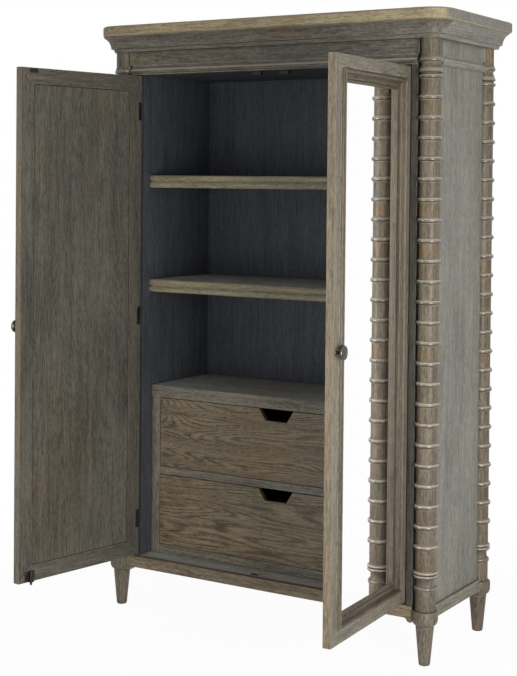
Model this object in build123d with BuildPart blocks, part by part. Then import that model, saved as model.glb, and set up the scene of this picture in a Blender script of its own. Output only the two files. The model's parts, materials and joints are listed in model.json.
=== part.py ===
"""Tall two-door wardrobe with ring-turned corner posts, mirror doors, shelves and a drawer unit.

Millimetres. +X to the right, +Y to the back, +Z up. The origin is on the floor, midway between
the sides, in the upright plane that touches the rings of the two front posts.
The doors are modelled standing open, each turned about the axis of its hinges.
"""
import os
from math import cos, radians, sin

from build123d import *

os.makedirs("parts", exist_ok=True)

# ---- Driving dimensions -------------------------------------------------------------------
# Corner posts and feet
post_half_spacing = 608.0  # post axis from the middle of the case
post_depth_spacing = 428.0  # front post axis to rear post axis
post_radius = 33.0
ring_radius = 40.0
ring_half_height = 8.5
neck_radius = 29.0
waist_radius = 35.0  # between the two rings of the lower pair
small_ring_radius = 37.0
small_ring_rise = 63.0  # floor board up to the small ring
neck_rise = 75.0  # floor board up to the lower neck
neck_length = 15.0
ring_pair_rise = 107.0  # floor board up to the waist of the ring pair
ring_pair_spread = 6.0  # waist to each of its rings
head_ring_drop = 40.0  # head of the opening down to the ring under the flare
flare_drop = 23.0
head_neck_radius = 31.0
head_neck_drop = 3.0
bulge_radius = 39.0
bulge_rise = 13.0  # head of the opening up to the bulge
foot_height = 130.0
foot_top_radius = 30.0
foot_tip_radius = 18.5
collar_radius = 42.0
collar_height = 47.0
tenon_radius = 12.0
tenon_length = 40.0

# Heights of the case, from the feet up
post_sill = 10.0  # top of the collar up to the top of the floor board
opening_height = 1739.0
bead_height = 34.0
frieze_height = 48.0
crown_height = 54.0
crown_foot_reach = 40.0  # beyond the post axes
crown_step_lean = 3.0
crown_step_rise = 11.0
crown_step_depth = 10.0
crown_step_slope = 2.0
crown_cove_sagitta = 6.2
crown_lip = 3.0
bead_reach = 27.0  # nose of the necking bead beyond the post axes
bead_depth = 8.0
bead_foot = 3.0
bead_nose_height = 15.7
bead_quirk = 2.0
bead_cove_foot = 0.8
bead_cove_sagitta = 1.6
top_thickness = 38.0

# Case boards
top_overhang = 82.0  # top board beyond the post axes, at the front and the sides
top_rear_overhang = 47.0
top_edge_chamfer = 5.0
wall_reach = 12.0  # outer face of the side panels and the frieze beyond the post axes
rail_reach = 21.0  # outer face of the base rails beyond the post axes
base_rail_height = 40.0
base_rail_thickness = 24.0
rail_ear_drop = 13.0  # how far the front rail dips beside the feet
rail_ear_length = 34.0
rail_ear_flat = 10.0
rail_housing = 8.0  # how far the base rails reach past the outside of the collars
side_panel_thickness = 18.0
panel_gap = 1.0  # side panels to the rings of the posts
floor_thickness = 18.0
ceiling_thickness = 18.0
head_rail_thickness = 18.0
back_thickness = 12.0
plank_count = 8
plank_gap = 0.6
stile_depth = 70.0
lining_thickness = 16.5
stile_width = 61.5  # inner face of the stiles to the post axes
jamb_setback = 13.0  # front face of the jambs in front of the post axes
back_plane_setback = 2.0  # front of the back planks behind the rear post axes
back_rebate = 6.0  # rear faces of the case behind the planks
frieze_cove_width = 24.0
frieze_cove_depth = 8.0
frieze_cove_sagitta = 2.0

# Shelves
shelf_setback = 46.0  # front of the shelves behind the front post axes
shelf_thickness = 26.0
nosing_height = 44.5
nosing_depth = 24.0
nosing_groove = 4.5
nosing_bead_depth = 5.0
nosing_groove_depth = 2.0
upper_shelf_level = 1565.5
middle_shelf_level = 1187.0
cleat_size = 18.0

# Drawer unit
drawer_setback = 72.0  # drawer fronts behind the front post axes
unit_stile_width = 35.0
unit_rail_thickness = 22.0
unit_top_level = 799.5
unit_top_thickness = 42.0
unit_top_overhang = 4.0
unit_bottom_rail_height = 32.0
unit_middle_rail_height = 26.5
lower_drawer_height = 258.5
drawer_gap = 2.5
drawer_front_thickness = 20.0
drawer_side_thickness = 12.0
drawer_bottom_thickness = 8.0
drawer_back_clearance = 8.0  # drawer box to the back of the case
drawer_box_inset = 4.5  # sides of the box to the sides of its opening
drawer_box_rise = 4.0  # box above the lower edge of its front
drawer_bottom_rise = 10.0
drawer_box_drop = 56.0  # box below the upper edge of its front
cutout_top_width = 138.0
cutout_bottom_width = 85.0
cutout_depth = 42.0
cutout_corner_radius = 9.0
runner_height = 12.0
runner_bearing = 20.0
runner_guide_height = 24.0
running_gap = 0.5

# Doors
hinge_setback = 17.0  # hinge axes in front of the front post axes
hinge_side_gap = 1.5  # door edge to jamb
door_centre_gap = 3.5
door_thickness = 26.0
door_floor_gap = 9.6
door_head_gap = 6.0
left_open_angle = 100.3
right_open_angle = 92.8
frame_width = 54.0
mould_foot = 36.0  # from the edge of the door to the foot of the raised moulding
mould_crest = 48.0
mould_rise = 11.0
mould_crest_width = 7.0
mould_crest_lean = 2.0
mould_crest_drop = 1.5
mould_crest_flat = 3.0
mould_crest_fall = 0.5
mould_crest_side = 4.0
mould_ogee_sagitta = 2.2
mould_cove_width = 12.0
mould_cove_depth = 10.0
mould_cove_sagitta = 3.5
mould_step = 3.0
mould_quirk = 2.0
mould_bead_sagitta = 4.8
mould_edge = 1.0
mirror_margin = 80.0  # from the edge of the door to the clear mirror
mirror_recess = 17.0
mirror_thickness = 4.0
mirror_lap = 7.0
panel_thickness = 4.0
fit_gap = 0.3

# Hinges
hinge_height = 66.0
hinge_lower_inset = 132.4  # middle of the hinge above the lower edge of the door
hinge_upper_inset = 126.0
knuckle_radius = 3.2
knuckle_relief = 0.5
pin_radius = 1.6
pin_length = 27.0
pin_clearance = 0.05
leaf_thickness = 1.5
leaf_wrap = 15.0
knuckle_gap = 0.4

# Knobs, catches and bolt
knob_level = 1055.0
knob_edge_inset = 23.0
knob_radius = 22.0
knob_reach = 30.0
knob_thickness = 12.0
knob_stem_radius = 5.0
knob_stem_length = 12.0
rosette_thickness = 3.0
strike_width = 36.0
strike_height = 14.0
strike_thickness = 1.5
strike_edge_inset = 53.0
strike_level_drop = 10.0
catch_depth = 12.0
catch_height = 12.0
catch_gap = 0.6
bolt_edge_inset = 46.0
bolt_radius = 4.0
bolt_standoff = 8.5
bolt_clearance = 0.06
bolt_floor_gap = 2.0
bolt_travel = 12.0
bolt_stop_gap = 2.0
bolt_thumb_radius = 5.5
bolt_thumb_height = 7.0
bolt_plate_width = 42.0
bolt_plate_height = 34.0
bolt_plate_thickness = 2.0
bolt_plate_rise = 1.5
bolt_case_width = 16.0
bolt_case_height = 17.0
bolt_case_cover = 6.0  # bolt axis to the face of its case
socket_clearance = 1.2
socket_plate_width = 30.0
socket_plate_depth = 18.0
socket_plate_thickness = 1.5

# ---- Levels and places worked out from them --------------------------------------------------
front_axis_y = ring_radius
rear_axis_y = front_axis_y + post_depth_spacing
collar_top = foot_height + collar_height
floor_level = collar_top + post_sill
head_level = floor_level + opening_height
frieze_level = head_level + bead_height
crown_level = frieze_level + frieze_height
top_level = crown_level + crown_height

wall_x = post_half_spacing + wall_reach
panel_inner_x = wall_x - side_panel_thickness
jamb_x = post_half_spacing - stile_width
opening_half_width = jamb_x - lining_thickness
jamb_front_y = front_axis_y - jamb_setback
hinge_x = jamb_x - hinge_side_gap
hinge_y = front_axis_y - hinge_setback
door_inner_y = hinge_y + door_thickness
lining_front_y = door_inner_y + 2 * running_gap
back_y = rear_axis_y + back_plane_setback
shelf_front_y = front_axis_y + shelf_setback
drawer_front_y = front_axis_y + drawer_setback
rail_front_y = front_axis_y - rail_reach
cove_radius = ring_radius + fit_gap
collar_reach = collar_radius + fit_gap
post_places = [(x, y) for x in (-post_half_spacing, post_half_spacing)
               for y in (front_axis_y, rear_axis_y)]

door_width = hinge_x - door_centre_gap / 2
door_bottom = floor_level + door_floor_gap
door_top = head_level - door_head_gap
hinge_lower_level = door_bottom + hinge_lower_inset
hinge_upper_level = door_top - hinge_upper_inset
hinge_levels = (hinge_lower_level, (hinge_lower_level + hinge_upper_level) / 2, hinge_upper_level)
open_angle = {1: left_open_angle, -1: right_open_angle}
side_name = {1: "left", -1: "right"}


def save(piece, name):
    """Label a finished piece and write it to its own file."""
    piece.part.label = name
    export_step(piece.part, f"parts/{name}.step")


def slab(x_range, y_range, z_range, mode=Mode.ADD):
    """One plain board in the part being built, given by its limits along X, Y and Z."""
    with BuildSketch(Plane.XY.offset(z_range[0])) as section:
        with Locations(((x_range[0] + x_range[1]) / 2, (y_range[0] + y_range[1]) / 2)):
            Rectangle(x_range[1] - x_range[0], y_range[1] - y_range[0])
    extrude(section.sketch, amount=z_range[1] - z_range[0], mode=mode)


def both_sides(x_range):
    """The same stretch of X on the left and on the right of the case."""
    return (-x_range[1], -x_range[0]), x_range


def make_board(name, x_range, y_range, z_range):
    with BuildPart() as board:
        slab(x_range, y_range, z_range)
    save(board, name)


def make_board_pair(name, x_range, y_range, z_range):
    with BuildPart() as boards:
        for side_range in both_sides(x_range):
            slab(side_range, y_range, z_range)
    save(boards, name)


# ---- Turned posts and feet ------------------------------------------------------------------
def radial_plane(x, y, angle):
    """Upright plane through a post axis, its local x pointing outwards at the given angle."""
    direction = Vector(cos(radians(angle)), sin(radians(angle)), 0)
    return Plane(origin=(x, y, 0), x_dir=direction, z_dir=direction.cross(Vector(0, 0, 1)))


def post_outline():
    """Half section of a post as (radius, height) points, from the collar to the crown."""
    small_ring = floor_level + small_ring_rise
    neck = floor_level + neck_rise
    waist = floor_level + ring_pair_rise
    head_ring = head_level - head_ring_drop
    flare = head_level - flare_drop
    bulge = head_level + bulge_rise
    return [
        (0, collar_top),
        (post_radius, collar_top),
        (post_radius, small_ring - ring_half_height),
        (small_ring_radius, small_ring),
        (neck_radius, neck),
        (neck_radius, neck + neck_length),
        (ring_radius, waist - ring_pair_spread),
        (waist_radius, waist),
        (ring_radius, waist + ring_pair_spread),
        (post_radius, waist + ring_pair_spread + ring_half_height),
        (post_radius, head_ring - ring_half_height),
        (ring_radius, head_ring),
        (post_radius, (head_ring + flare) / 2),
        (ring_radius, flare),
        (head_neck_radius, head_level - head_neck_drop),
        (bulge_radius, bulge),
        (post_radius, bulge + ring_half_height),
        (post_radius, crown_level),
        (0, crown_level),
    ]


def make_post(name, x, y, start_angle):
    """Three-quarter round post: the case corner fills the missing quarter."""
    with BuildPart() as post:
        with BuildSketch(radial_plane(x, y, start_angle)):
            Polygon(*post_outline(), align=None)
        revolve(axis=Axis((x, y, 0), (0, 0, 1)), revolution_arc=270)
        with BuildSketch(Plane.XY.offset(collar_top)):
            with Locations((x, y)):
                Circle(tenon_radius + fit_gap)
        extrude(amount=tenon_length + fit_gap, mode=Mode.SUBTRACT)
    save(post, name)


make_post("front_right_post", post_half_spacing, front_axis_y, 180)
make_post("front_left_post", -post_half_spacing, front_axis_y, 90)
make_post("rear_right_post", post_half_spacing, rear_axis_y, 270)
make_post("rear_left_post", -post_half_spacing, rear_axis_y, 0)

def foot_outline():
    """Half section of a foot as (radius, height) points: taper, collar and the tenon above it."""
    return [
        (0, 0),
        (foot_tip_radius, 0),
        (foot_top_radius, foot_height),
        (collar_radius, foot_height),
        (collar_radius, collar_top),
        (tenon_radius, collar_top),
        (tenon_radius, collar_top + tenon_length),
        (0, collar_top + tenon_length),
    ]


with BuildPart() as feet:
    for foot_x, foot_y in post_places:
        with BuildSketch(radial_plane(foot_x, foot_y, 0)):
            Polygon(*foot_outline(), align=None)
        revolve(axis=Axis((foot_x, foot_y, 0), (0, 0, 1)))
save(feet, "turned_feet")

# ---- Case corners -----------------------------------------------------------------------------
notch_x = post_half_spacing - post_radius - 2 * fit_gap
bulge_x = post_half_spacing - cove_radius
head_front_y = front_axis_y - wall_reach
head_back_y = head_front_y + head_rail_thickness
panel_front_y = front_axis_y + ring_radius + panel_gap
panel_rear_y = rear_axis_y - ring_radius - panel_gap
rear_stile_reach = back_plane_setback + back_thickness + back_rebate


def corner_stile(hand, axis_y, outward, reach, reach_top):
    """Case corner that seats a post; the part of it beyond the post axis is coved round the rings."""
    panel_y = axis_y - outward * (ring_radius + panel_gap)
    inner_y = axis_y - outward * stile_depth
    with BuildSketch(Plane.XY.offset(floor_level)) as outer_part:
        with Locations((hand * (jamb_x + post_half_spacing) / 2, axis_y + outward * reach / 2)):
            Rectangle(post_half_spacing - jamb_x, reach)
        with Locations((hand * post_half_spacing, axis_y)):
            Circle(cove_radius, mode=Mode.SUBTRACT)
    extrude(outer_part.sketch, amount=reach_top - floor_level)
    with BuildSketch(Plane.XY.offset(floor_level)) as inner_part:
        Polygon(
            (hand * jamb_x, axis_y),
            (hand * post_half_spacing, axis_y),
            (hand * post_half_spacing, panel_y),
            (hand * panel_inner_x, panel_y),
            (hand * panel_inner_x, inner_y),
            (hand * jamb_x, inner_y),
            align=None,
        )
    extrude(inner_part.sketch, amount=top_level - floor_level)
    with BuildSketch(Plane.XY.offset(floor_level)) as tenon_seat:
        with Locations((hand * post_half_spacing, axis_y)):
            Circle(tenon_radius + fit_gap)
    extrude(tenon_seat.sketch, amount=tenon_length - post_sill + fit_gap, mode=Mode.SUBTRACT)


with BuildPart() as front_stiles:
    for hand in (-1, 1):
        corner_stile(hand, front_axis_y, -1, jamb_setback, head_level)
        rebate_x = sorted((hand * jamb_x, hand * notch_x))
        slab(rebate_x, (front_axis_y, head_back_y), (head_level, top_level), Mode.SUBTRACT)
        mortise_x = sorted((hand * jamb_x, hand * (jamb_x + leaf_thickness)))
        for level in hinge_levels:
            mortise_z = (level - hinge_height / 2, level + hinge_height / 2)
            slab(mortise_x, (jamb_front_y, door_inner_y), mortise_z, Mode.SUBTRACT)
save(front_stiles, "front_stiles")

with BuildPart() as rear_stiles:
    for hand in (-1, 1):
        corner_stile(hand, rear_axis_y, 1, rear_stile_reach, top_level)
save(rear_stiles, "rear_stiles")

# ---- Walls, floor, ceiling and back -----------------------------------------------------------
frieze_z = (frieze_level, crown_level)


def side_frieze_cove(hand, post_side_y, inward):
    """Cove that widens the side frieze where it meets a post."""
    root = (hand * wall_x, post_side_y + inward * frieze_cove_width)
    lip = (hand * (wall_x + frieze_cove_depth), post_side_y)
    with BuildSketch(Plane.XY.offset(frieze_z[0])) as section:
        with BuildLine():
            SagittaArc(root, lip, -hand * inward * frieze_cove_sagitta)
            Polyline(lip, (hand * wall_x, post_side_y), root)
        make_face()
    extrude(section.sketch, amount=frieze_z[1] - frieze_z[0])


with BuildPart() as side_panels:
    for hand_x in both_sides((panel_inner_x, wall_x)):
        slab(hand_x, (panel_front_y, panel_rear_y), (floor_level, crown_level))
    for hand in (-1, 1):
        side_frieze_cove(hand, panel_front_y, 1)
        side_frieze_cove(hand, panel_rear_y, -1)
save(side_panels, "side_panels")

lining_y = (lining_front_y, back_y)
lining_z = (floor_level, frieze_level)
make_board_pair("side_linings", (opening_half_width, jamb_x), lining_y, lining_z)

inside_x = (-opening_half_width, opening_half_width)
ceiling_z = (head_level, head_level + ceiling_thickness)
make_board("ceiling_board", inside_x, (head_back_y, back_y), ceiling_z)

rail_back_y = rail_front_y + base_rail_thickness
floor_rear_y = rear_axis_y + rail_reach - base_rail_thickness
floor_half_width = post_half_spacing + rail_reach - base_rail_thickness
bolt_closed_x = -hinge_x + door_width - bolt_edge_inset
bolt_closed_y = door_inner_y + bolt_standoff
socket_x = (bolt_closed_x - socket_plate_width / 2, bolt_closed_x + socket_plate_width / 2)
socket_y = (bolt_closed_y - socket_plate_depth / 2, bolt_closed_y + socket_plate_depth / 2)
socket_z = (floor_level - socket_plate_thickness, floor_level)

with BuildPart() as floor_board:
    floor_z = (floor_level - floor_thickness, floor_level)
    slab((-floor_half_width, floor_half_width), (rail_back_y, floor_rear_y), floor_z)
    with BuildSketch(Plane.XY.offset(floor_z[0])):
        with Locations(*post_places):
            Circle(collar_reach)
        with Locations((bolt_closed_x, bolt_closed_y)):
            Circle(bolt_radius + socket_clearance)
    extrude(amount=floor_thickness, mode=Mode.SUBTRACT)
    slab(socket_x, socket_y, socket_z, Mode.SUBTRACT)
save(floor_board, "floor_board")

with BuildPart() as floor_socket:
    slab(socket_x, socket_y, socket_z)
    with BuildSketch(Plane.XY.offset(socket_z[0])):
        with Locations((bolt_closed_x, bolt_closed_y)):
            Circle(bolt_radius + socket_clearance)
    extrude(amount=socket_plate_thickness, mode=Mode.SUBTRACT)
save(floor_socket, "floor_socket")

with BuildPart() as back_planks:
    plank_pitch = 2 * jamb_x / plank_count
    for index in range(plank_count):
        plank_left = -jamb_x + index * plank_pitch
        plank_x = (plank_left + plank_gap / 2, plank_left + plank_pitch - plank_gap / 2)
        slab(plank_x, (back_y, back_y + back_thickness), (floor_level, top_level))
save(back_planks, "back_planks")

# ---- Base rails ---------------------------------------------------------------------------------
rail_bottom = floor_level - base_rail_height


def rail_outline(start, end):
    """Elevation of the front base rail, whose lower edge dips in an ogee beside each foot."""
    ear = rail_bottom - rail_ear_drop
    middle = (rail_bottom + ear) / 2
    bend = (rail_ear_length - rail_ear_flat) / 2
    Polyline((start, ear), (start, floor_level), (end, floor_level), (end, ear))
    for edge, inward in ((start, 1), (end, -1)):
        low = edge + inward * rail_ear_flat
        RadiusArc((low, ear), (low + inward * bend, middle), inward * -bend)
        RadiusArc((low + inward * bend, middle), (low + 2 * inward * bend, rail_bottom), inward * bend)
        Line((edge, ear), (low, ear))
    Line((start + rail_ear_length, rail_bottom), (end - rail_ear_length, rail_bottom))


def hollow_round_posts(radius, low, high):
    """Hollow what is being built so that it meets the round posts or their collars."""
    with BuildSketch(Plane.XY.offset(low)) as rounds:
        with Locations(*post_places):
            Circle(radius)
    extrude(rounds.sketch, amount=high - low, mode=Mode.SUBTRACT)


with BuildPart() as front_base_rail:
    with BuildSketch(Plane.XZ.offset(-rail_back_y)):
        with BuildLine():
            rail_end_x = post_half_spacing - collar_radius + rail_housing
            rail_outline(-rail_end_x, rail_end_x)
        make_face()
    extrude(amount=base_rail_thickness)
    hollow_round_posts(collar_reach, 0, floor_level)
save(front_base_rail, "front_base_rail")

with BuildPart() as side_base_rails:
    rail_start_y = front_axis_y + collar_radius - rail_housing
    rail_end_y = rear_axis_y - collar_radius + rail_housing
    for hand_x in both_sides((floor_half_width, post_half_spacing + rail_reach)):
        slab(hand_x, (rail_start_y, rail_end_y), (rail_bottom, floor_level))
    hollow_round_posts(collar_reach, 0, floor_level)
save(side_base_rails, "side_base_rails")

with BuildPart() as rear_base_rail:
    rear_rail_x = (-post_half_spacing, post_half_spacing)
    slab(rear_rail_x, (floor_rear_y, rear_axis_y + rail_reach), (rail_bottom, floor_level))
    hollow_round_posts(collar_reach, 0, floor_level)
save(rear_base_rail, "rear_base_rail")

# ---- Head of the case ----------------------------------------------------------------------------
head_x = (-bulge_x, bulge_x)
make_board("head_rail", head_x, (head_front_y, head_back_y), (head_level, frieze_level))

with BuildPart() as front_frieze:
    with BuildSketch(Plane.XY.offset(frieze_level)):
        with BuildLine():
            cove_x = notch_x - frieze_cove_width
            lip_y = head_front_y - frieze_cove_depth
            Line((-cove_x, head_front_y), (cove_x, head_front_y))
            SagittaArc((cove_x, head_front_y), (notch_x, lip_y), frieze_cove_sagitta)
            Polyline(
                (notch_x, lip_y),
                (notch_x, head_back_y),
                (-notch_x, head_back_y),
                (-notch_x, lip_y),
            )
            SagittaArc((-notch_x, lip_y), (-cove_x, head_front_y), frieze_cove_sagitta)
        make_face()
    extrude(amount=frieze_height)
save(front_frieze, "front_frieze")


def bead_section(plane):
    """Necking bead with a cavetto above it; local x runs outwards, local y upwards."""
    root = bead_reach - bead_depth
    bead_top = bead_foot + bead_nose_height
    cove_x = root - bead_quirk
    top_x = wall_reach + bead_cove_foot
    with BuildSketch(plane) as section:
        with BuildLine():
            Polyline((wall_reach, bead_height), (wall_reach, 0), (root, 0), (root, bead_foot))
            ThreePointArc(
                (root, bead_foot),
                (bead_reach, (bead_foot + bead_top) / 2),
                (root, bead_top),
            )
            Line((root, bead_top), (cove_x, bead_top))
            SagittaArc((cove_x, bead_top), (top_x, bead_height), bead_cove_sagitta)
            Line((top_x, bead_height), (wall_reach, bead_height))
        make_face()
    return section.sketch


with BuildPart() as front_bead:
    bead_origin = (-bulge_x, front_axis_y, head_level)
    bead_plane = Plane(origin=bead_origin, x_dir=(0, -1, 0), z_dir=(-1, 0, 0))
    extrude(bead_section(bead_plane), amount=-2 * bulge_x)
    hollow_round_posts(cove_radius, head_level, frieze_level)
save(front_bead, "front_bead")

with BuildPart() as side_beads:
    for hand in (-1, 1):
        bead_origin = (hand * post_half_spacing, panel_front_y, head_level)
        bead_plane = Plane(origin=bead_origin, x_dir=(hand, 0, 0), z_dir=(0, -hand, 0))
        extrude(bead_section(bead_plane), amount=-hand * (panel_rear_y - panel_front_y))
save(side_beads, "side_beads")


def crown_section(plane):
    """Crown moulding: fillet, large cove and steps; local x runs outwards from the post axis."""
    step_x = crown_foot_reach + crown_step_lean
    cove_foot = (step_x + crown_step_depth, crown_step_rise + crown_step_slope)
    tip = top_overhang - crown_lip
    cove_head = (tip - crown_step_slope, crown_height - crown_lip)
    with BuildSketch(plane) as section:
        with BuildLine():
            Polyline(
                (0, crown_height),
                (0, 0),
                (crown_foot_reach, 0),
                (step_x, crown_step_rise),
                cove_foot,
            )
            SagittaArc(cove_foot, cove_head, crown_cove_sagitta)
            Polyline(
                cove_head,
                (tip, crown_height - crown_lip),
                (tip, crown_height),
                (0, crown_height),
            )
        make_face()
    return section.sketch


with BuildPart() as front_crown:
    crown_origin = (-post_half_spacing, front_axis_y, crown_level)
    crown_plane = Plane(origin=crown_origin, x_dir=(0, -1, 0), z_dir=(-1, 0, 0))
    extrude(crown_section(crown_plane), amount=-2 * post_half_spacing)
    for hand in (-1, 1):
        corner = (hand * post_half_spacing, front_axis_y, crown_level)
        corner_section = crown_section(Plane(origin=corner, x_dir=(0, -1, 0), z_dir=(-1, 0, 0)))
        revolve(corner_section, axis=Axis(corner, (0, 0, hand)), revolution_arc=90)
save(front_crown, "front_crown")

with BuildPart() as side_crowns:
    for hand in (-1, 1):
        crown_origin = (hand * post_half_spacing, front_axis_y, crown_level)
        crown_plane = Plane(origin=crown_origin, x_dir=(hand, 0, 0), z_dir=(0, -hand, 0))
        extrude(crown_section(crown_plane), amount=-hand * (post_depth_spacing + post_radius))
save(side_crowns, "side_crowns")

with BuildPart() as top_board:
    top_half_width = post_half_spacing + top_overhang
    top_front_y = front_axis_y - top_overhang
    top_rear_y = rear_axis_y + top_rear_overhang
    with BuildSketch(Plane.XY.offset(top_level)):
        with Locations((0, (top_front_y + top_rear_y) / 2)):
            Rectangle(2 * top_half_width, top_rear_y - top_front_y)
    extrude(amount=top_thickness)
    fillet(top_board.edges().filter_by(Axis.Z).group_by(Axis.Y)[0], radius=top_overhang)
    chamfer(top_board.faces().sort_by(Axis.Z)[-1].edges(), length=top_edge_chamfer)
    chamfer(top_board.faces().sort_by(Axis.Z)[0].edges(), length=top_edge_chamfer)
save(top_board, "top_board")

# ---- Shelves ---------------------------------------------------------------------------------------


def make_shelf(name, level):
    """Shelf with a deep nosing of two beads and the groove between them."""
    bead = (nosing_height - nosing_groove) / 2
    root_y = shelf_front_y + nosing_bead_depth
    groove_y = root_y + nosing_groove_depth
    with BuildPart() as shelf:
        with BuildSketch(Plane.YZ.offset(-opening_half_width)):
            with BuildLine():
                ThreePointArc((root_y, level), (shelf_front_y, level - bead / 2), (root_y, level - bead))
                Polyline(
                    (root_y, level - bead),
                    (groove_y, level - bead),
                    (groove_y, level - bead - nosing_groove),
                    (root_y, level - bead - nosing_groove),
                )
                ThreePointArc(
                    (root_y, level - bead - nosing_groove),
                    (shelf_front_y, level - 1.5 * bead - nosing_groove),
                    (root_y, level - nosing_height),
                )
                Polyline(
                    (root_y, level - nosing_height),
                    (shelf_front_y + nosing_depth, level - nosing_height),
                    (shelf_front_y + nosing_depth, level - shelf_thickness),
                    (back_y, level - shelf_thickness),
                    (back_y, level),
                    (root_y, level),
                )
            make_face()
        extrude(amount=2 * opening_half_width)
    save(shelf, name)


shelf_levels = (upper_shelf_level, middle_shelf_level)
make_shelf("upper_shelf", upper_shelf_level)
make_shelf("middle_shelf", middle_shelf_level)

with BuildPart() as shelf_cleats:
    for level in shelf_levels:
        cleat_z = (level - shelf_thickness - cleat_size, level - shelf_thickness)
        for cleat_x in both_sides((opening_half_width - cleat_size, opening_half_width)):
            slab(cleat_x, (shelf_front_y + nosing_depth, back_y), cleat_z)
save(shelf_cleats, "shelf_cleats")

# ---- Drawer unit -------------------------------------------------------------------------------------
unit_inner_x = opening_half_width - unit_stile_width
unit_back_y = drawer_front_y + unit_rail_thickness
unit_top_bottom = unit_top_level - unit_top_thickness
lower_opening = (floor_level + unit_bottom_rail_height,
                 floor_level + unit_bottom_rail_height + lower_drawer_height)
upper_opening = (lower_opening[1] + unit_middle_rail_height, unit_top_bottom)
unit_y = (drawer_front_y, unit_back_y)
rail_x = (-unit_inner_x, unit_inner_x)

unit_top_y = (drawer_front_y - unit_top_overhang, back_y)
make_board("drawer_unit_top", inside_x, unit_top_y, (unit_top_bottom, unit_top_level))
unit_stile_x = (unit_inner_x, opening_half_width)
make_board_pair("drawer_unit_stiles", unit_stile_x, unit_y, (floor_level, unit_top_bottom))
make_board("drawer_middle_rail", rail_x, unit_y, (lower_opening[1], upper_opening[0]))
make_board("drawer_bottom_rail", rail_x, unit_y, (floor_level, lower_opening[0]))

front_half_width = unit_inner_x - drawer_gap
box_half_width = unit_inner_x - drawer_box_inset


def drawer_box_bottom(opening):
    return opening[0] + drawer_gap + drawer_box_rise


with BuildPart() as drawer_runners:
    for opening in (lower_opening, upper_opening):
        bearing_top = drawer_box_bottom(opening) - running_gap
        bearing_z = (bearing_top - runner_height, bearing_top)
        guide_z = (bearing_top - runner_height, bearing_top + runner_guide_height)
        bearing_x = (box_half_width - runner_bearing, opening_half_width)
        guide_x = (box_half_width + running_gap, opening_half_width)
        for hand_x in both_sides(bearing_x):
            slab(hand_x, (unit_back_y, back_y), bearing_z)
        for hand_x in both_sides(guide_x):
            slab(hand_x, (unit_back_y, back_y), guide_z)
save(drawer_runners, "drawer_runners")


def make_drawer(name, opening):
    """Drawer front with its finger cut-out, two sides, back and bottom."""
    front_bottom = opening[0] + drawer_gap
    front_top = opening[1] - drawer_gap
    box_bottom = drawer_box_bottom(opening)
    box_top = front_top - drawer_box_drop
    front_back_y = drawer_front_y + drawer_front_thickness
    box_back_y = back_y - drawer_back_clearance
    side_inner_x = box_half_width - drawer_side_thickness
    with BuildPart() as front:
        with BuildSketch(Plane.XZ.offset(-drawer_front_y)):
            with Locations((0, (front_bottom + front_top) / 2)):
                Rectangle(2 * front_half_width, front_top - front_bottom)
            Polygon(
                (-cutout_top_width / 2, front_top),
                (-cutout_bottom_width / 2, front_top - cutout_depth),
                (cutout_bottom_width / 2, front_top - cutout_depth),
                (cutout_top_width / 2, front_top),
                align=None,
                mode=Mode.SUBTRACT,
            )
            fillet(vertices().group_by(Axis.Y)[1], radius=cutout_corner_radius)
        extrude(amount=-drawer_front_thickness)
    save(front, f"{name}_front")
    side_x = (side_inner_x, box_half_width)
    make_board_pair(f"{name}_sides", side_x, (front_back_y, box_back_y), (box_bottom, box_top))
    floor_z = (box_bottom + drawer_bottom_rise, box_bottom + drawer_bottom_rise + drawer_bottom_thickness)
    inner_x = (-side_inner_x, side_inner_x)
    make_board(f"{name}_bottom", inner_x, (front_back_y, box_back_y), floor_z)
    back_y_range = (box_back_y - drawer_side_thickness, box_back_y)
    make_board(f"{name}_back", inner_x, back_y_range, (floor_z[1], box_top))


make_drawer("lower_drawer", lower_opening)
make_drawer("upper_drawer", upper_opening)


# ---- Doors ------------------------------------------------------------------------------------------
def door_directions(hand):
    """Along the door (left to right when shut) and inwards through its thickness."""
    angle = radians(open_angle[hand])
    along = Vector(cos(angle), -hand * sin(angle), 0)
    inward = Vector(hand * sin(angle), cos(angle), 0)
    return along, inward


def door_point(hand, u, v, z):
    """Place of a point u from the hinge axis along the door, v behind its face, at height z."""
    along, inward = door_directions(hand)
    return Vector(-hand * hinge_x, hinge_y, z) + along * (hand * u) + inward * v


def door_elevation(hand, depth=0.0):
    """Plane of the door's face; local x is hand * u, local y is the height."""
    along, inward = door_directions(hand)
    return Plane(origin=door_point(hand, 0, depth, 0), x_dir=along, z_dir=-inward)


def door_plan(hand, level):
    """Level plane through the door; local x is hand * u, local y is the depth behind the face."""
    along, inward = door_directions(hand)
    return Plane(origin=door_point(hand, 0, 0, level), x_dir=along, z_dir=(0, 0, 1))


def door_section(hand, u, level):
    """Upright plane across the door; local x points up, local y outwards from its face."""
    along, inward = door_directions(hand)
    return Plane(origin=door_point(hand, u, 0, level), x_dir=(0, 0, 1), z_dir=along)


def door_slab(hand, u_range, v_range, z_range, mode=Mode.ADD):
    """One plain block on a door, given by its limits along, through and up the door."""
    with BuildSketch(door_plan(hand, z_range[0])) as section:
        with Locations((hand * (u_range[0] + u_range[1]) / 2, (v_range[0] + v_range[1]) / 2)):
            Rectangle(u_range[1] - u_range[0], v_range[1] - v_range[0])
    extrude(section.sketch, amount=z_range[1] - z_range[0], mode=mode)


def door_sheet(name, hand, margin, v_range):
    """Flat sheet that fills the door up to a margin from its edges."""
    with BuildPart() as sheet:
        u_range = (margin, door_width - margin)
        door_slab(hand, u_range, v_range, (door_bottom + margin, door_top - margin))
    save(sheet, name)


moulding_edge = frame_width + fit_gap
moulding_back = mirror_recess + mirror_thickness
knob_u = door_width - knob_edge_inset
rosette_radius = mould_foot - knob_edge_inset - fit_gap
bolt_u = door_width - bolt_edge_inset


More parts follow.
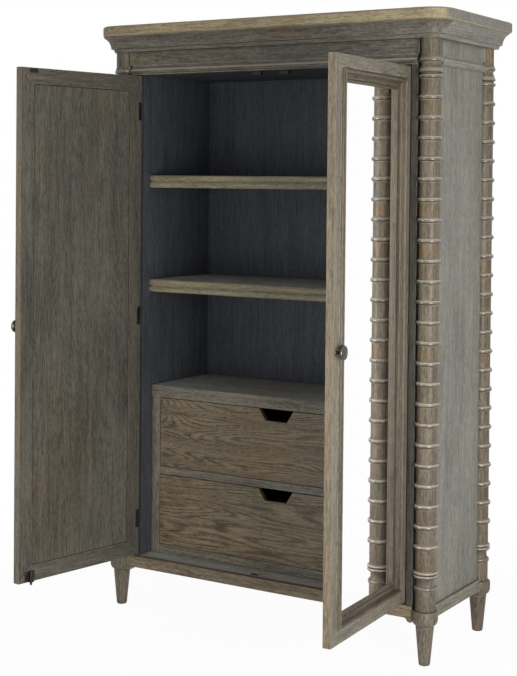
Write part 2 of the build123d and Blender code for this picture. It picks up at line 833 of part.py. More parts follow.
def make_frame(hand):
    """Mitred door frame: two stiles with hinge mortises and two rails."""
    side = side_name[hand]
    low, high, wide, far = door_bottom, door_top, frame_width, door_width
    with BuildPart() as stiles:
        with BuildSketch(door_elevation(hand)):
            for near, inner in ((0, wide), (far, far - wide)):
                Polygon(
                    (hand * near, low),
                    (hand * inner, low + wide),
                    (hand * inner, high - wide),
                    (hand * near, high),
                    align=None,
                )
        extrude(amount=-door_thickness)
        for level in hinge_levels:
            mortise_z = (level - hinge_height / 2, level + hinge_height / 2)
            v_range = (0, door_thickness)
            door_slab(hand, (0, leaf_thickness), v_range, mortise_z, Mode.SUBTRACT)
            inner_v = (door_thickness - leaf_thickness, door_thickness)
            door_slab(hand, (0, leaf_wrap), inner_v, mortise_z, Mode.SUBTRACT)
            with BuildSketch(door_plan(hand, mortise_z[0])):
                Circle(knuckle_radius + knuckle_relief)
            extrude(amount=hinge_height, mode=Mode.SUBTRACT)
        with BuildSketch(door_elevation(hand)):
            with Locations((hand * knob_u, knob_level)):
                Circle(knob_stem_radius + fit_gap)
        extrude(amount=-knob_stem_length - fit_gap, mode=Mode.SUBTRACT)
    save(stiles, f"{side}_door_stiles")
    with BuildPart() as rails:
        with BuildSketch(door_elevation(hand)):
            for outer, inner in ((low, low + wide), (high, high - wide)):
                Polygon(
                    (0, outer),
                    (hand * wide, inner),
                    (hand * (far - wide), inner),
                    (hand * far, outer),
                    align=None,
                )
        extrude(amount=-door_thickness)
    save(rails, f"{side}_door_rails")


def make_moulding(hand):
    """Mitred moulding that rises over the frame, then falls in a cove and a bead to the mirror."""
    foot = mould_foot - moulding_edge
    crest = mould_crest - moulding_edge
    crest_back = crest + mould_crest_width
    cove_end = crest_back + mould_cove_width
    bead_start = cove_end + mould_quirk
    bead_level = -mould_cove_depth - mould_step
    inner = mirror_margin - moulding_edge
    lap = inner - mirror_lap
    with BuildPart() as moulding:
        middle_u = door_width / 2
        with BuildLine(door_elevation(hand)):
            corners = [
                (hand * middle_u, door_bottom + moulding_edge),
                (hand * (door_width - moulding_edge), door_bottom + moulding_edge),
                (hand * (door_width - moulding_edge), door_top - moulding_edge),
                (hand * moulding_edge, door_top - moulding_edge),
                (hand * moulding_edge, door_bottom + moulding_edge),
            ]
            Polyline(*corners, close=True)
        with BuildSketch(door_section(hand, middle_u, door_bottom + moulding_edge)):
            with BuildLine():
                crest_foot = (crest - mould_crest_lean, mould_rise - mould_crest_drop)
                SagittaArc((foot, 0), crest_foot, -mould_ogee_sagitta)
                Polyline(
                    crest_foot,
                    (crest, mould_rise),
                    (crest + mould_crest_flat, mould_rise - mould_crest_fall),
                    (crest_back - mould_edge, mould_rise - mould_crest_side),
                    (crest_back, 0),
                )
                SagittaArc((crest_back, 0), (cove_end, -mould_cove_depth), -mould_cove_sagitta)
                Polyline(
                    (cove_end, -mould_cove_depth),
                    (cove_end, bead_level),
                    (bead_start, bead_level),
                )
                bead_end = (inner, mould_edge - mirror_recess)
                SagittaArc((bead_start, bead_level), bead_end, mould_bead_sagitta)
                Polyline(
                    bead_end,
                    (inner, -mirror_recess),
                    (lap, -mirror_recess),
                    (lap, -moulding_back),
                    (0, -moulding_back),
                    (0, 0),
                    (foot, 0),
                )
            make_face()
        sweep(transition=Transition.RIGHT)
    save(moulding, f"{side_name[hand]}_door_moulding")


def make_hinge_leaves(hand):
    """Door halves of the three hinges: a leaf round the edge of the door and a bored knuckle."""
    with BuildPart() as leaves:
        clear = knuckle_radius + knuckle_relief
        for level in hinge_levels:
            low = level - hinge_height / 2
            high = level + hinge_height / 2
            knuckle_low = level + knuckle_gap / 2
            door_slab(hand, (0, leaf_thickness), (clear, door_thickness), (low, high))
            wrap_v = (door_thickness - leaf_thickness, door_thickness)
            door_slab(hand, (0, leaf_wrap), wrap_v, (low, high))
            door_slab(hand, (0, leaf_thickness), (0, clear), (knuckle_low, high))
            with BuildSketch(door_plan(hand, knuckle_low)):
                Circle(knuckle_radius)
            extrude(amount=high - knuckle_low)
            with BuildSketch(door_plan(hand, knuckle_low)):
                Circle(pin_radius + pin_clearance)
            extrude(amount=pin_length + knuckle_gap, mode=Mode.SUBTRACT)
    save(leaves, f"{side_name[hand]}_door_hinge_leaves")


def make_knob(hand):
    """Turned knob on its stem, and the rosette it passes through."""
    knob_plane = door_section(hand, knob_u, knob_level)
    along, inward = door_directions(hand)
    knob_axis = Axis(door_point(hand, knob_u, 0, knob_level), -inward)
    with BuildPart() as knob:
        with BuildSketch(knob_plane):
            Polygon(
                (0, knob_reach),
                (0, -knob_stem_length),
                (knob_stem_radius, -knob_stem_length),
                (knob_stem_radius, knob_reach - knob_thickness),
                (knob_radius, knob_reach - knob_thickness),
                (knob_radius, knob_reach),
                align=None,
            )
        revolve(axis=knob_axis)
        with BuildSketch(knob_plane):
            Polygon(
                (knob_stem_radius + fit_gap, 0),
                (rosette_radius, 0),
                (rosette_radius, rosette_thickness),
                (knob_stem_radius + fit_gap, rosette_thickness),
                align=None,
            )
        revolve(axis=knob_axis)
    save(knob, f"{side_name[hand]}_knob")


def make_strike(hand):
    """Plate at the top of the door that meets the catch under the ceiling."""
    middle_u = door_width - strike_edge_inset
    high = door_top - strike_level_drop + strike_height / 2
    v_range = (door_thickness, door_thickness + strike_thickness)
    with BuildPart() as strike:
        u_range = (middle_u - strike_width / 2, middle_u + strike_width / 2)
        door_slab(hand, u_range, v_range, (high - strike_height, high))
    save(strike, f"{side_name[hand]}_strike")


for hand in (1, -1):
    side = side_name[hand]
    make_frame(hand)
    make_moulding(hand)
    mirror_v = (mirror_recess, moulding_back)
    door_sheet(f"{side}_door_mirror", hand, mirror_margin - mirror_lap + fit_gap, mirror_v)
    panel_v = (moulding_back, moulding_back + panel_thickness)
    door_sheet(f"{side}_door_panel", hand, moulding_edge, panel_v)
    make_hinge_leaves(hand)
    make_knob(hand)
    make_strike(hand)

with BuildPart() as hinge_frame_leaves:
    for hand in (-1, 1):
        clear = knuckle_radius + knuckle_relief
        leaf_x = sorted((hand * jamb_x, hand * (jamb_x + leaf_thickness)))
        for level in hinge_levels:
            low = level - hinge_height / 2
            knuckle_high = level - knuckle_gap / 2
            slab(leaf_x, (hinge_y + clear, door_inner_y), (low, low + hinge_height))
            slab(leaf_x, (hinge_y, hinge_y + clear), (low, knuckle_high))
            for radius, length in ((knuckle_radius, knuckle_high - low),
                                   (pin_radius, knuckle_high - low + pin_length)):
                with BuildSketch(Plane.XY.offset(low)):
                    with Locations((hand * hinge_x, hinge_y)):
                        Circle(radius)
                extrude(amount=length)
save(hinge_frame_leaves, "hinge_frame_leaves")

with BuildPart() as ceiling_catches:
    catch_x = hinge_x - door_width + strike_edge_inset
    catch_y = door_inner_y + strike_thickness + catch_gap
    catch_x_range = (catch_x - strike_width / 2, catch_x + strike_width / 2)
    for hand_x in both_sides(catch_x_range):
        slab(hand_x, (catch_y, catch_y + catch_depth), (head_level - catch_height, head_level))
save(ceiling_catches, "ceiling_catches")

# ---- Sliding bolt of the left door ---------------------------------------------------------------
bolt_v = door_thickness + bolt_standoff
bolt_tip = floor_level + bolt_floor_gap
bolt_plate_bottom = door_bottom + bolt_plate_rise

with BuildPart() as bolt_case:
    plate_u = (bolt_u - bolt_plate_width / 2, bolt_u + bolt_plate_width / 2)
    plate_v = (door_thickness, door_thickness + bolt_plate_thickness)
    door_slab(1, plate_u, plate_v, (bolt_plate_bottom, bolt_plate_bottom + bolt_plate_height))
    case_u = (bolt_u - bolt_case_width / 2, bolt_u + bolt_case_width / 2)
    case_v = (door_thickness, bolt_v + bolt_case_cover)
    case_z = (bolt_plate_bottom, bolt_plate_bottom + bolt_case_height)
    door_slab(1, case_u, case_v, case_z)
    with BuildSketch(door_plan(1, bolt_plate_bottom)):
        with Locations((bolt_u, bolt_v)):
            Circle(bolt_radius + bolt_clearance)
    extrude(amount=bolt_plate_height, mode=Mode.SUBTRACT)
save(bolt_case, "left_bolt_case")

with BuildPart() as bolt_rod:
    tip_plane = door_section(1, bolt_u, 0)
    axis_point = door_point(1, bolt_u, bolt_v, 0)
    thumb_low = case_z[1] + bolt_travel + bolt_stop_gap
    bolt_end = thumb_low + bolt_thumb_height
    with BuildSketch(tip_plane):
        Polygon(
            (bolt_tip, -bolt_v),
            (bolt_tip, -bolt_v - bolt_radius),
            (thumb_low, -bolt_v - bolt_radius),
            (thumb_low, -bolt_v - bolt_thumb_radius),
            (bolt_end, -bolt_v - bolt_thumb_radius),
            (bolt_end, -bolt_v),
            align=None,
        )
    revolve(axis=Axis(axis_point, (0, 0, 1)))
save(bolt_rod, "left_bolt")
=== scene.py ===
import json
from math import cos, pi, radians, sin

import bpy
from bpy.props import FloatProperty, FloatVectorProperty, IntProperty, PointerProperty
from bpy.types import NodeSocket, Operator, Panel, PropertyGroup, Scene
from mathutils import Matrix, Vector


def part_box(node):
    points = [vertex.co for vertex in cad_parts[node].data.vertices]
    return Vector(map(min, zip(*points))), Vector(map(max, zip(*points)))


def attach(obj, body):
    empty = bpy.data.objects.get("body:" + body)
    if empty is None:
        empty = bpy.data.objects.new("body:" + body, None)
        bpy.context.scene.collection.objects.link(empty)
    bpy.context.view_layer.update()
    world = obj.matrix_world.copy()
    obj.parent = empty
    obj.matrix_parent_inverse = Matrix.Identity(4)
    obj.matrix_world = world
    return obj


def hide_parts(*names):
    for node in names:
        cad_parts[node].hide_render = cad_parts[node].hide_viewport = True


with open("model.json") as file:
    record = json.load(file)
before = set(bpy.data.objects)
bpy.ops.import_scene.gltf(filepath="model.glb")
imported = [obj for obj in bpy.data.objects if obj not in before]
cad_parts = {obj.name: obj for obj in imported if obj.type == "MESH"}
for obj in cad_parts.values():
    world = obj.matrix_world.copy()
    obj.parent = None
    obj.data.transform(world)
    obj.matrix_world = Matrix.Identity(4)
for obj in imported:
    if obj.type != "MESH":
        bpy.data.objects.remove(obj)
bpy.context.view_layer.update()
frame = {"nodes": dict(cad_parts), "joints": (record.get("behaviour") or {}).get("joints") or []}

bl_info = {
    "name": "Turned Wardrobe Finish",
    "version": (1, 0, 0),
    "blender": (4, 5, 0),
    "location": "View3D > Sidebar > Wardrobe",
    "description": "Turnings, fittings and weathered oak finish of a wardrobe with mirror doors",
    "category": "Object",
}

nodes = frame["nodes"]
joints = {joint["name"]: joint for joint in frame["joints"]}

SIDES = ("left", "right")
ACROSS, DEEP, UP = (1, 0, 0), (0, 1, 0), (0, 0, 1)
COLOUR, NUMBER, VECTOR = "NodeSocketColor", "NodeSocketFloat", "NodeSocketVector"
COVER = {"Color": COLOUR, "Mask": NUMBER}

# ---- Sizes read from the frame
post_low, post_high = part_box("front_right_post")
post_ring_radius = (post_high.x - post_low.x) / 2
floor_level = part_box("side_panels")[0].z
head_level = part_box("ceiling_board")[0].z

# ---- Sizes of the fittings and of the floor
FLOOR_DROP = 0.0005  # from the feet to the floor
HINGE_SCREW_PITCH = 0.021
DOOR_LEAF_SCREWS = 0.0088  # from the hinge axis
CASE_LEAF_SCREWS = 0.0075  # from the rear edge of a leaf on the case
CASE_LEAF_THICKNESS = 0.0015
LEAF_GAP = 0.2  # two hinges of a door are further apart than this
PANEL_PIN_END = 0.024  # from a panel's ends to its end pins
PLATE_SCREW_INSET = 0.006
BOLT_PLATE_THICKNESS = 0.003
SOCKET_SCREW_INSET = 0.005
KNOB_STEM_RADIUS, ROSETTE_RADIUS = 0.0052, 0.0124
SUNK = 0.0012  # how deep a screw head is set in
KNOB_STEPS, SCREW_STEPS, PIN_STEPS, NOSE_STEPS = 56, 20, 16, 8

# Domes as shares of the radius and of the height
KNOB_DOME = ((0.62, 0.52), (0.86, 0.6), (0.97, 0.66), (1, 0.72), (0.985, 0.79), (0.93, 0.84),
             (0.86, 0.85), (0.8, 0.875), (0.62, 0.935), (0.4, 0.978), (0.18, 0.996), (0, 1))
SCREW_DOME = ((1, 0), (0.96, 0.45), (0.72, 0.85), (0.35, 1), (0, 1))
BAR = (0.86, 0.11)  # half length and half width of the bar across a screw head
BAR_RISE = (0.55, 1.12)  # its lower and upper face, as shares of the head's rise
NOSE_FULLNESS = 0.85  # less than 1 makes a fuller bead

# ---- Sizes of the finish
REAL_EDGE = radians(32)  # least bend of a real edge
FLAT = radians(0.8)  # greatest bend within a flat face
MERGED = 2e-5  # points closer than this are one point
NOSE_MARGINS = (0.0012, 0.0018)  # from the shaft and from the nose's tip
RUBBED_RADIUS = 0.003
SEAM_START, SEAM_END = 0.0012, 0.0045
RELIEF, METAL_RELIEF = (0.3, 0.0006), (0.12, 0.0005)  # strength and depth

# Layers of the grain: their scale across a board, how many times longer they run along it, and
# the detail, roughness and distortion of their noise
GRAIN = {
    "rings": (6, 9, 2, 0.45, 0.25),
    "fibres": (380, 24, 3, 0.65),
    "flecks": (330, 5, 2, 0.6),
    "pores": (520, 22, 1),
    "lines": (150, 18, 2, 0.6),
    "streaks": (45, 22, 2, 0.6),
    "patches": (4.5, 1.9, 3, 0.6),
    "knots": (9, 1.7, 1, 0.4, 0.6),
    "warmth": (3.2, 1.4, 2),
}
RING_WAVES = 340
ISLAND_SPREAD = 9

# Woods: where they are, their pale grain and their dark grain
WOODS = {
    "khaki": ("top board", "a19678", "675e4a"),
    "nosing": ("shelf fronts", "9f977d", "625b4b"),
    "frame": ("door frames", "857b68", "50483c"),
    "face": ("outer faces of the door frames", "7d796c", "4a463e"),
    "moulding": ("mirror mouldings", "5b5345", "2f2a22"),
    "umber": ("posts", "706859", "38322a"),
    "foot": ("feet", "776f61", "3e3830"),
    "cornice": ("crown and frieze", "6e695f", "34312c"),
    "brown": ("front boards and drawers", "887b64", "463e33"),
    "unit": ("frame round the drawers", "888375", "464239"),
    # Painted light: upward faces inside are shown paler, as lit from above.
    "upper": ("upper faces inside", "d2d3d0", "838482"),
    # Painted side light: the grey is the same oak, shown cooler and greyer on the faces that look sideways.
    "grey": ("sides", "83837c", "504f49"),
    "shade": ("inner faces of the doors", "605e56", "33322e"),
    # Painted shade: the front corner stiles, seen in the narrow gap between door and post, are given a dark
    # tone.
    "jamb": ("front corner stiles", "55524c", "2c2b2a"),
    "inside": ("dark stained inside", "52555c", "303237"),
    "plain": ("drawer boxes", "5f5443", "382f25"),
}


# ---- Places
def shifted(x, y, z):
    """Matrix of a move."""
    return Matrix.Translation(Vector((x, y, z)))


def post_axis(side, end):
    """Place of a post's axis on the floor."""
    low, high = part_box(f"{end}_{side}_post")
    return Vector(((low.x + high.x) / 2, (low.y + high.y) / 2, 0))


def door_place(side):
    """Matrix from door measures (along from the hinge, behind the face, height) to the frame."""
    hinge = joints[f"{side}_door_hinge"]
    opening = radians(-hinge["range_deg"][0])
    hand = 1 if side == "left" else -1
    along = Vector((hand * cos(opening), -sin(opening), 0))
    inward = Vector((hand * sin(opening), cos(opening), 0))
    place = Matrix((along, inward, Vector(UP))).transposed().to_4x4()
    place.translation = Vector((hinge["pos_m"][0], hinge["pos_m"][1], 0))
    return place


def inner_face(door, along, behind, height):
    """Place on the inner side of a door, with its z axis out of the door."""
    return door @ shifted(along, behind, height) @ Matrix.Rotation(-pi / 2, 4, "X")


def measured(node, place):
    """Lowest and highest corner of a CAD node in the measures of a place."""
    back = place.inverted()
    columns = list(zip(*(back @ vertex.co for vertex in nodes[node].data.vertices)))
    return [Vector([pick(column) for column in columns]) for pick in (min, max)]


def hinge_levels(node):
    """Middle heights of a door's hinges, from the gaps between their leaves."""
    heights = sorted({round(vertex.co.z, 4) for vertex in nodes[node].data.vertices})
    groups = [[heights[0]]]
    for height in heights[1:]:
        if height - groups[-1][-1] > LEAF_GAP:
            groups.append([])
        groups[-1].append(height)
    return [(group[0] + group[-1]) / 2 for group in groups]


# ---- Properties
def maker(kind, **settings):
    """Maker of properties of one kind."""
    return lambda name, words, default: kind(name=name, description=words, default=default, **settings)


length = maker(FloatProperty, min=0, unit="LENGTH")
angle = maker(FloatProperty, subtype="ANGLE")
power = maker(FloatProperty, min=0, unit="POWER")
number = maker(FloatProperty)
integer = maker(IntProperty, min=2)
colour = maker(FloatVectorProperty, size=3, subtype="COLOR", min=0, max=1)
spot = maker(FloatVectorProperty, size=3, subtype="TRANSLATION", unit="LENGTH")


def linear(code):
    """Linear red, green and blue of a colour written as six sRGB hex digits."""
    parts = [int(code[place:place + 2], 16) / 255 for place in (0, 2, 4)]
    return tuple(part / 12.92 if part <= 0.04045 else ((part + 0.055) / 1.055) ** 2.4 for part in parts)


class WardrobeTurning(PropertyGroup):
    """Sizes of the turned posts and feet."""

    shaft_radius: length("Shaft radius", "Radius of a post between its rings", 0.033)
    ring_radius: length("Ring radius", "Radius over the nose of a ring", post_ring_radius)
    ring_count: integer("Rings", "Evenly spaced rings on the shaft", 23)
    lowest_ring: length("Lowest ring", "Height of the lowest even ring", floor_level + 0.195)
    highest_ring: length("Highest ring", "Height of the highest even ring", head_level - 0.106)
    nose_half_height: length("Nose half height", "Half the height of a ring's round nose", 0.007)
    fillet: length("Fillet", "Step under and over a ring", 0.0014)
    neck_radius: length("Neck radius", "Radius of the hollow near the foot of a post", 0.0285)
    foot_tip_radius: length("Foot tip radius", "Radius of a foot where it stands", 0.0185)
    foot_top_radius: length("Foot top radius", "Radius of a foot under its collar", 0.03)
    foot_height: length("Foot height", "Height of the underside of the collars", 0.13)
    collar_radius: length("Collar radius", "Radius of the collar over a foot", 0.042)
    steps: integer("Steps", "Faces round a full turn", 64)


class WardrobeFittings(PropertyGroup):
    """Sizes of the small fittings."""

    screw_radius: length("Screw radius", "Radius of a screw head", 0.0034)
    screw_rise: length("Screw rise", "How proud a screw head stands", 0.0011)
    pin_radius: length("Panel pin radius", "Radius of the pins of the door panels", 0.003)
    pin_inset: length("Panel pin inset", "Pins from the edge of the panel", 0.014)
    pin_rows: integer("Panel pins", "Spaces between the pins along an edge", 5)


class WardrobeColours(PropertyGroup):
    """Colours of the finish; those of the woods are added below."""

    worn: colour("Worn edge", "Bare wood where edges are rubbed", linear("b3aa98"))
    # Painted highlight on the tops of the ring noses and of the bead rims.
    painted_glint: colour("Ring nose", "Pale polish on the noses of the post rings", linear("c9c5bc"))
    # Grime colour, also used for painted shade in corners and under the ring noses.
    grime: colour("Grime", "Dark wax and dust in the corners", linear("1f1b17"))
    iron: colour("Iron", "Blackened iron fittings", linear("373533"))
    bronze: colour("Bronze", "Aged metal of the knobs", linear("5a554d"))
    rust: colour("Patina", "Brown patina on the metal", (0.06, 0.04, 0.026))
    bright: colour("Bright metal", "Metal where it is rubbed", (0.36, 0.34, 0.31))


for wood, (where, light, dark) in WOODS.items():
    for grain, words, code in (("light", "Pale", light), ("dark", "Dark", dark)):
        WardrobeColours.__annotations__[f"{wood}_{grain}"] = colour(
            f"{wood.capitalize()}, {grain}", f"{words} grain of the {where}", linear(code))


class WardrobeStage(PropertyGroup):
    """Camera, lamps and floor."""

    camera_place: spot("Camera place", "Where the camera stands", (2.5448, -4.1091, 1.5484))
    camera_yaw: angle("Yaw", "Turn of the view to the left", 0.5562)
    camera_pitch: angle("Pitch", "Tilt of the view downwards", 0.02)
    camera_roll: angle("Roll", "Roll of the view", 0.0092)
    lens: number("Lens", "Focal length in millimetres", 75.897)
    shift: number("Shift", "Upright shift of the lens", -0.19)
    key_place: spot("Key lamp place", "Where the main lamp hangs", (3.3, -2.3, 1.1))
    key_size: length("Key lamp size", "Side of the main lamp", 1.5)
    key_power: power("Key lamp", "Power of the main lamp", 150)
    key_colour: colour("Key lamp colour", "Colour of the main lamp", (1, 0.97, 0.92))
    fill_place: spot("Fill lamp place", "Where the fill lamp hangs", (-0.4, -3.6, 0.6))
    fill_size: length("Fill lamp size", "Side of the fill lamp", 1.8)
    fill_power: power("Fill lamp", "Power of the fill lamp", 30)
    fill_colour: colour("Fill lamp colour", "Colour of the fill lamp", (0.97, 0.98, 1))
    lamp_aim: spot("Lamp aim", "What the lamps point at", (0, 0, 1))
    sky: number("Sky", "Strength of the even light", 0.34)
    floor_size: length("Floor", "Half width of the floor", 9)
    floor_colour: colour("Floor colour", "Pale grey of the floor", (0.86, 0.86, 0.86))
    halo: number("Halo", "Share of the floor's shade that shows", 0.04)


# ---- Node trees
def set_up(thing, **settings):
    """Give a node, a modifier, a lamp or a camera its settings."""
    for name, value in settings.items():
        setattr(thing, name, value)
    return thing


def feed(tree, node, inputs):
    """Give a node's inputs values or other nodes' sockets, by name or by number."""
    for name, value in dict(inputs).items():
        if isinstance(value, NodeSocket):
            tree.links.new(value, node.inputs[name])
        else:
            node.inputs[name].default_value = value
    return node


def put(tree, kind, inputs=(), **settings):
    """Add a node, set it up and feed its inputs."""
    return feed(tree, set_up(tree.nodes.new(kind), **settings), inputs)


def maths(tree, operation, *values, clamp=False):
    """Output of a Math node."""
    node = put(tree, "ShaderNodeMath", dict(enumerate(values)), operation=operation, use_clamp=clamp)
    return node.outputs[0]


def product(tree, first, second, clamp=False):
    """Product of two values."""
    return maths(tree, "MULTIPLY", first, second, clamp=clamp)


def less(tree, first, second):
    """First value less the second."""
    return maths(tree, "SUBTRACT", first, second)


def line(tree, value, slope, start, clamp=False):
    """Value times a slope, on top of a start."""
    return maths(tree, "MULTIPLY_ADD", value, slope, start, clamp=clamp)


def vectors(tree, operation, *values):
    """Output of a Vector Math node; a dot product or a length gives its value."""
    node = put(tree, "ShaderNodeVectorMath", dict(enumerate(values)), operation=operation)
    return node.outputs["Value" if operation in ("DOT_PRODUCT", "LENGTH") else "Vector"]


def scaled(tree, vector, scale):
    """Vector times a value."""
    inputs = {0: vector, "Scale": scale}
    return put(tree, "ShaderNodeVectorMath", inputs, operation="SCALE").outputs["Vector"]


def ramped(tree, value, low, high):
    """Value eased from 0 at low to 1 at high."""
    inputs = {"Value": value, "From Min": low, "From Max": high}
    return put(tree, "ShaderNodeMapRange", inputs, interpolation_type="SMOOTHSTEP").outputs["Result"]


def blended(tree, amount, first, second, blend="MIX"):
    """Colour between two colours."""
    inputs = {0: amount, 6: first, 7: second}
    node = put(tree, "ShaderNodeMix", inputs, data_type="RGBA", blend_type=blend)
    return node.outputs[2]


def noise(tree, place, scale, detail=2, roughness=0.5, distortion=0):
    """Noise between 0 and 1."""
    return put(tree, "ShaderNodeTexNoise", {
        "Vector": place, "Scale": scale, "Detail": detail, "Roughness": roughness,
        "Distortion": distortion}).outputs["Fac"]


def seen_ray(tree):
    """1 for rays from the camera and for those that a mirror or glass sends on."""
    path = put(tree, "ShaderNodeLightPath").outputs
    seen = maths(tree, "MAXIMUM", path["Is Camera Ray"], path["Is Glossy Ray"])
    return maths(tree, "MAXIMUM", seen, path["Is Transmission Ray"])


def new_group(name, inputs, outputs):
    """Empty shader group with named sockets; returns it with the values that come in."""
    group = bpy.data.node_groups.new(name, "ShaderNodeTree")
    for label, (kind, default) in inputs.items():
        group.interface.new_socket(label, in_out="INPUT", socket_type=kind).default_value = default
    for label, kind in outputs.items():
        group.interface.new_socket(label, in_out="OUTPUT", socket_type=kind)
    return group, group.nodes.new("NodeGroupInput").outputs


def give(group, values):
    """Lead values out of a group."""
    feed(group, group.nodes.new("NodeGroupOutput"), values)


def cover(tree, source, mask, other):
    """Lead out of a group its colour with another one over it, and the mask of that."""
    mask = product(tree, mask, source["Amount"], clamp=True)
    give(tree, {"Color": blended(tree, mask, source["Color"], source[other]), "Mask": mask})


def make_grain_group():
    """Oak grain stretched along a direction: growth figure, fibres, pores and cloudy patches."""
    tree, source = new_group("Board grain", {
        "Vector": (VECTOR, (0, 0, 0)),
        "Direction": (VECTOR, UP),
        "Shift": (NUMBER, 0),
        "Light": (COLOUR, (0.4, 0.35, 0.25, 1)),
        "Dark": (COLOUR, (0.1, 0.08, 0.06, 1)),
        "Warmth": (NUMBER, 0.2),
        "Figure": (NUMBER, 0.4),
        "Knots": (NUMBER, 0),
    }, {"Color": COLOUR, "Roughness": NUMBER, "Height": NUMBER})
    direction = vectors(tree, "NORMALIZE", source["Direction"])
    place = vectors(tree, "ADD", source["Vector"], scaled(tree, (1.7, 2.3, 3.1), source["Shift"]))
    along = vectors(tree, "DOT_PRODUCT", place, direction)
    layer = {}
    for name, (across, stretch, *settings) in GRAIN.items():
        pulled = scaled(tree, direction, product(tree, along, across / stretch - across))
        layer[name] = noise(tree, vectors(tree, "ADD", scaled(tree, place, across), pulled), 1, *settings)

    rings = maths(tree, "SINE", product(tree, layer["rings"], RING_WAVES))
    rings = maths(tree, "POWER", line(tree, rings, 0.5, 0.5), 0.6)
    pores = ramped(tree, layer["pores"], 0.6, 0.72)
    knots = product(tree, ramped(tree, layer["knots"], 0.7, 0.8), source["Knots"])
    parts = ((layer["patches"], 0.5, 0.55), (layer["streaks"], 0.5, 0.55), (layer["lines"], 0.5, 0.65),
             (layer["fibres"], 0.5, 0.8), (layer["flecks"], 0.5, 1),
             (rings, 0.6, product(tree, source["Figure"], 0.4)), (pores, 0, -0.4), (knots, 0, -0.8))
    bright = 0.5
    for part, middle, strength in parts:
        bright = line(tree, less(tree, part, middle), strength, bright)
    base = blended(tree, ramped(tree, bright, 0.05, 0.95), source["Dark"], source["Light"])
    warmer = blended(tree, 1, base, (1.22, 0.98, 0.7, 1), "MULTIPLY")
    warm = product(tree, ramped(tree, layer["warmth"], 0.45, 0.72), source["Warmth"])

    rough = line(tree, layer["fibres"], 0.16, 0.38)
    rough = line(tree, layer["patches"], 0.14, rough)
    height = line(tree, pores, -0.8, product(tree, layer["fibres"], 0.6))
    give(tree, {
        "Color": blended(tree, warm, base, warmer),
        "Roughness": line(tree, pores, 0.2, rough),
        "Height": line(tree, layer["lines"], 0.5, height),
    })


def make_wear_group():
    """Rubbed edges: where the surface turns within a small radius, the bare colour shows through."""
    tree, source = new_group("Rubbed edges", {
        "Color": (COLOUR, (0.2, 0.2, 0.2, 1)),
        "Worn": (COLOUR, (0.5, 0.45, 0.4, 1)),
        "Vector": (VECTOR, (0, 0, 0)),
        "Amount": (NUMBER, 0.5),
    }, COVER)
    rounded = put(tree, "ShaderNodeBevel", {"Radius": RUBBED_RADIUS}, samples=4).outputs["Normal"]
    normal = put(tree, "ShaderNodeNewGeometry").outputs["Normal"]
    turn = less(tree, 1, vectors(tree, "DOT_PRODUCT", rounded, normal))
    breaks = ramped(tree, noise(tree, source["Vector"], 38, 3, 0.6), 0.3, 0.62)
    cover(tree, source, product(tree, ramped(tree, turn, 0.01, 0.16), breaks), "Worn")


def make_grime_and_shade_group():
    """Dark wax and dust gathered in corners and quirks, together with painted shade there, from ambient
    occlusion.
    """
    tree, source = new_group("Grime and corner shade", {
        "Color": (COLOUR, (0.2, 0.2, 0.2, 1)),
        "Grime": (COLOUR, (0.02, 0.015, 0.01, 1)),
        "Vector": (VECTOR, (0, 0, 0)),
        "Amount": (NUMBER, 0.6),
        "Reach": (NUMBER, 0.02),
    }, COVER)
    shut = put(tree, "ShaderNodeAmbientOcclusion", {"Distance": source["Reach"]}, samples=6)
    corner = ramped(tree, less(tree, 1, shut.outputs["AO"]), 0.18, 0.85)
    cloud = ramped(tree, noise(tree, source["Vector"], 21), 0.15, 0.6)
    cover(tree, source, product(tree, corner, cloud), "Grime")


def make_mitre_group():
    """Grain direction of a mitred frame, level in rails and upright in stiles, and its edge's seam."""
    tree, source = new_group("Mitred grain", {
        "Vector": (VECTOR, (0, 0, 0)),
        "Corner": (VECTOR, (0, 0, 0)),
        "Along": (VECTOR, ACROSS),
        "Width": (NUMBER, 0.5),
        "Height": (NUMBER, 1.7),
    }, {"Direction": VECTOR, "Seam": NUMBER})
    offset = vectors(tree, "SUBTRACT", source["Vector"], source["Corner"])
    side = vectors(tree, "DOT_PRODUCT", offset, source["Along"])
    side = maths(tree, "MINIMUM", side, less(tree, source["Width"], side))
    rise = vectors(tree, "DOT_PRODUCT", offset, UP)
    rise = maths(tree, "MINIMUM", rise, less(tree, source["Height"], rise))
    choice = {0: maths(tree, "LESS_THAN", rise, side), 4: UP, 5: source["Along"]}
    inward = ramped(tree, maths(tree, "MINIMUM", side, rise), SEAM_START, SEAM_END)
    give(tree, {
        "Direction": put(tree, "ShaderNodeMix", choice, data_type="VECTOR").outputs[1],
        "Seam": less(tree, 1, inward),
    })


def shared(tree, name, inputs):
    """Outputs of one of the shared groups in a material."""
    return put(tree, "ShaderNodeGroup", inputs, node_tree=bpy.data.node_groups[name]).outputs


# ---- Materials
def new_material(name):
    """Material with an empty tree but for its Principled shader and output."""
    material = bpy.data.materials.new(name)
    material.use_nodes = True
    tree = material.node_tree
    tree.nodes.clear()
    shader = put(tree, "ShaderNodeBsdfPrincipled")
    put(tree, "ShaderNodeOutputMaterial", {"Surface": shader.outputs["BSDF"]})
    return material, tree, shader


def tone(name):
    """One of the colours of the finish, with its opacity."""
    return (*getattr(bpy.context.scene.wardrobe_colours, name), 1)


def tones(wood):
    """Pale and dark grain of a wood."""
    return tone(f"{wood}_light"), tone(f"{wood}_dark")


def rubbed_edges(tree, place, base, worn, amount):
    """Colour and mask of a surface with rubbed edges."""
    return shared(tree, "Rubbed edges", {
        "Color": base, "Worn": tone(worn), "Vector": place, "Amount": amount})


def grime_and_corner_shade(tree, place, base, amount, reach):
    """Colour and mask of a surface with grime and painted shade in its corners."""
    return shared(tree, "Grime and corner shade", {
        "Color": base, "Grime": tone("grime"), "Vector": place, "Amount": amount, "Reach": reach})


def bumped(tree, height, strength, depth):
    """Normal of a surface in slight relief."""
    inputs = {"Height": height, "Strength": strength, "Distance": depth}
    return put(tree, "ShaderNodeBump", inputs).outputs["Normal"]


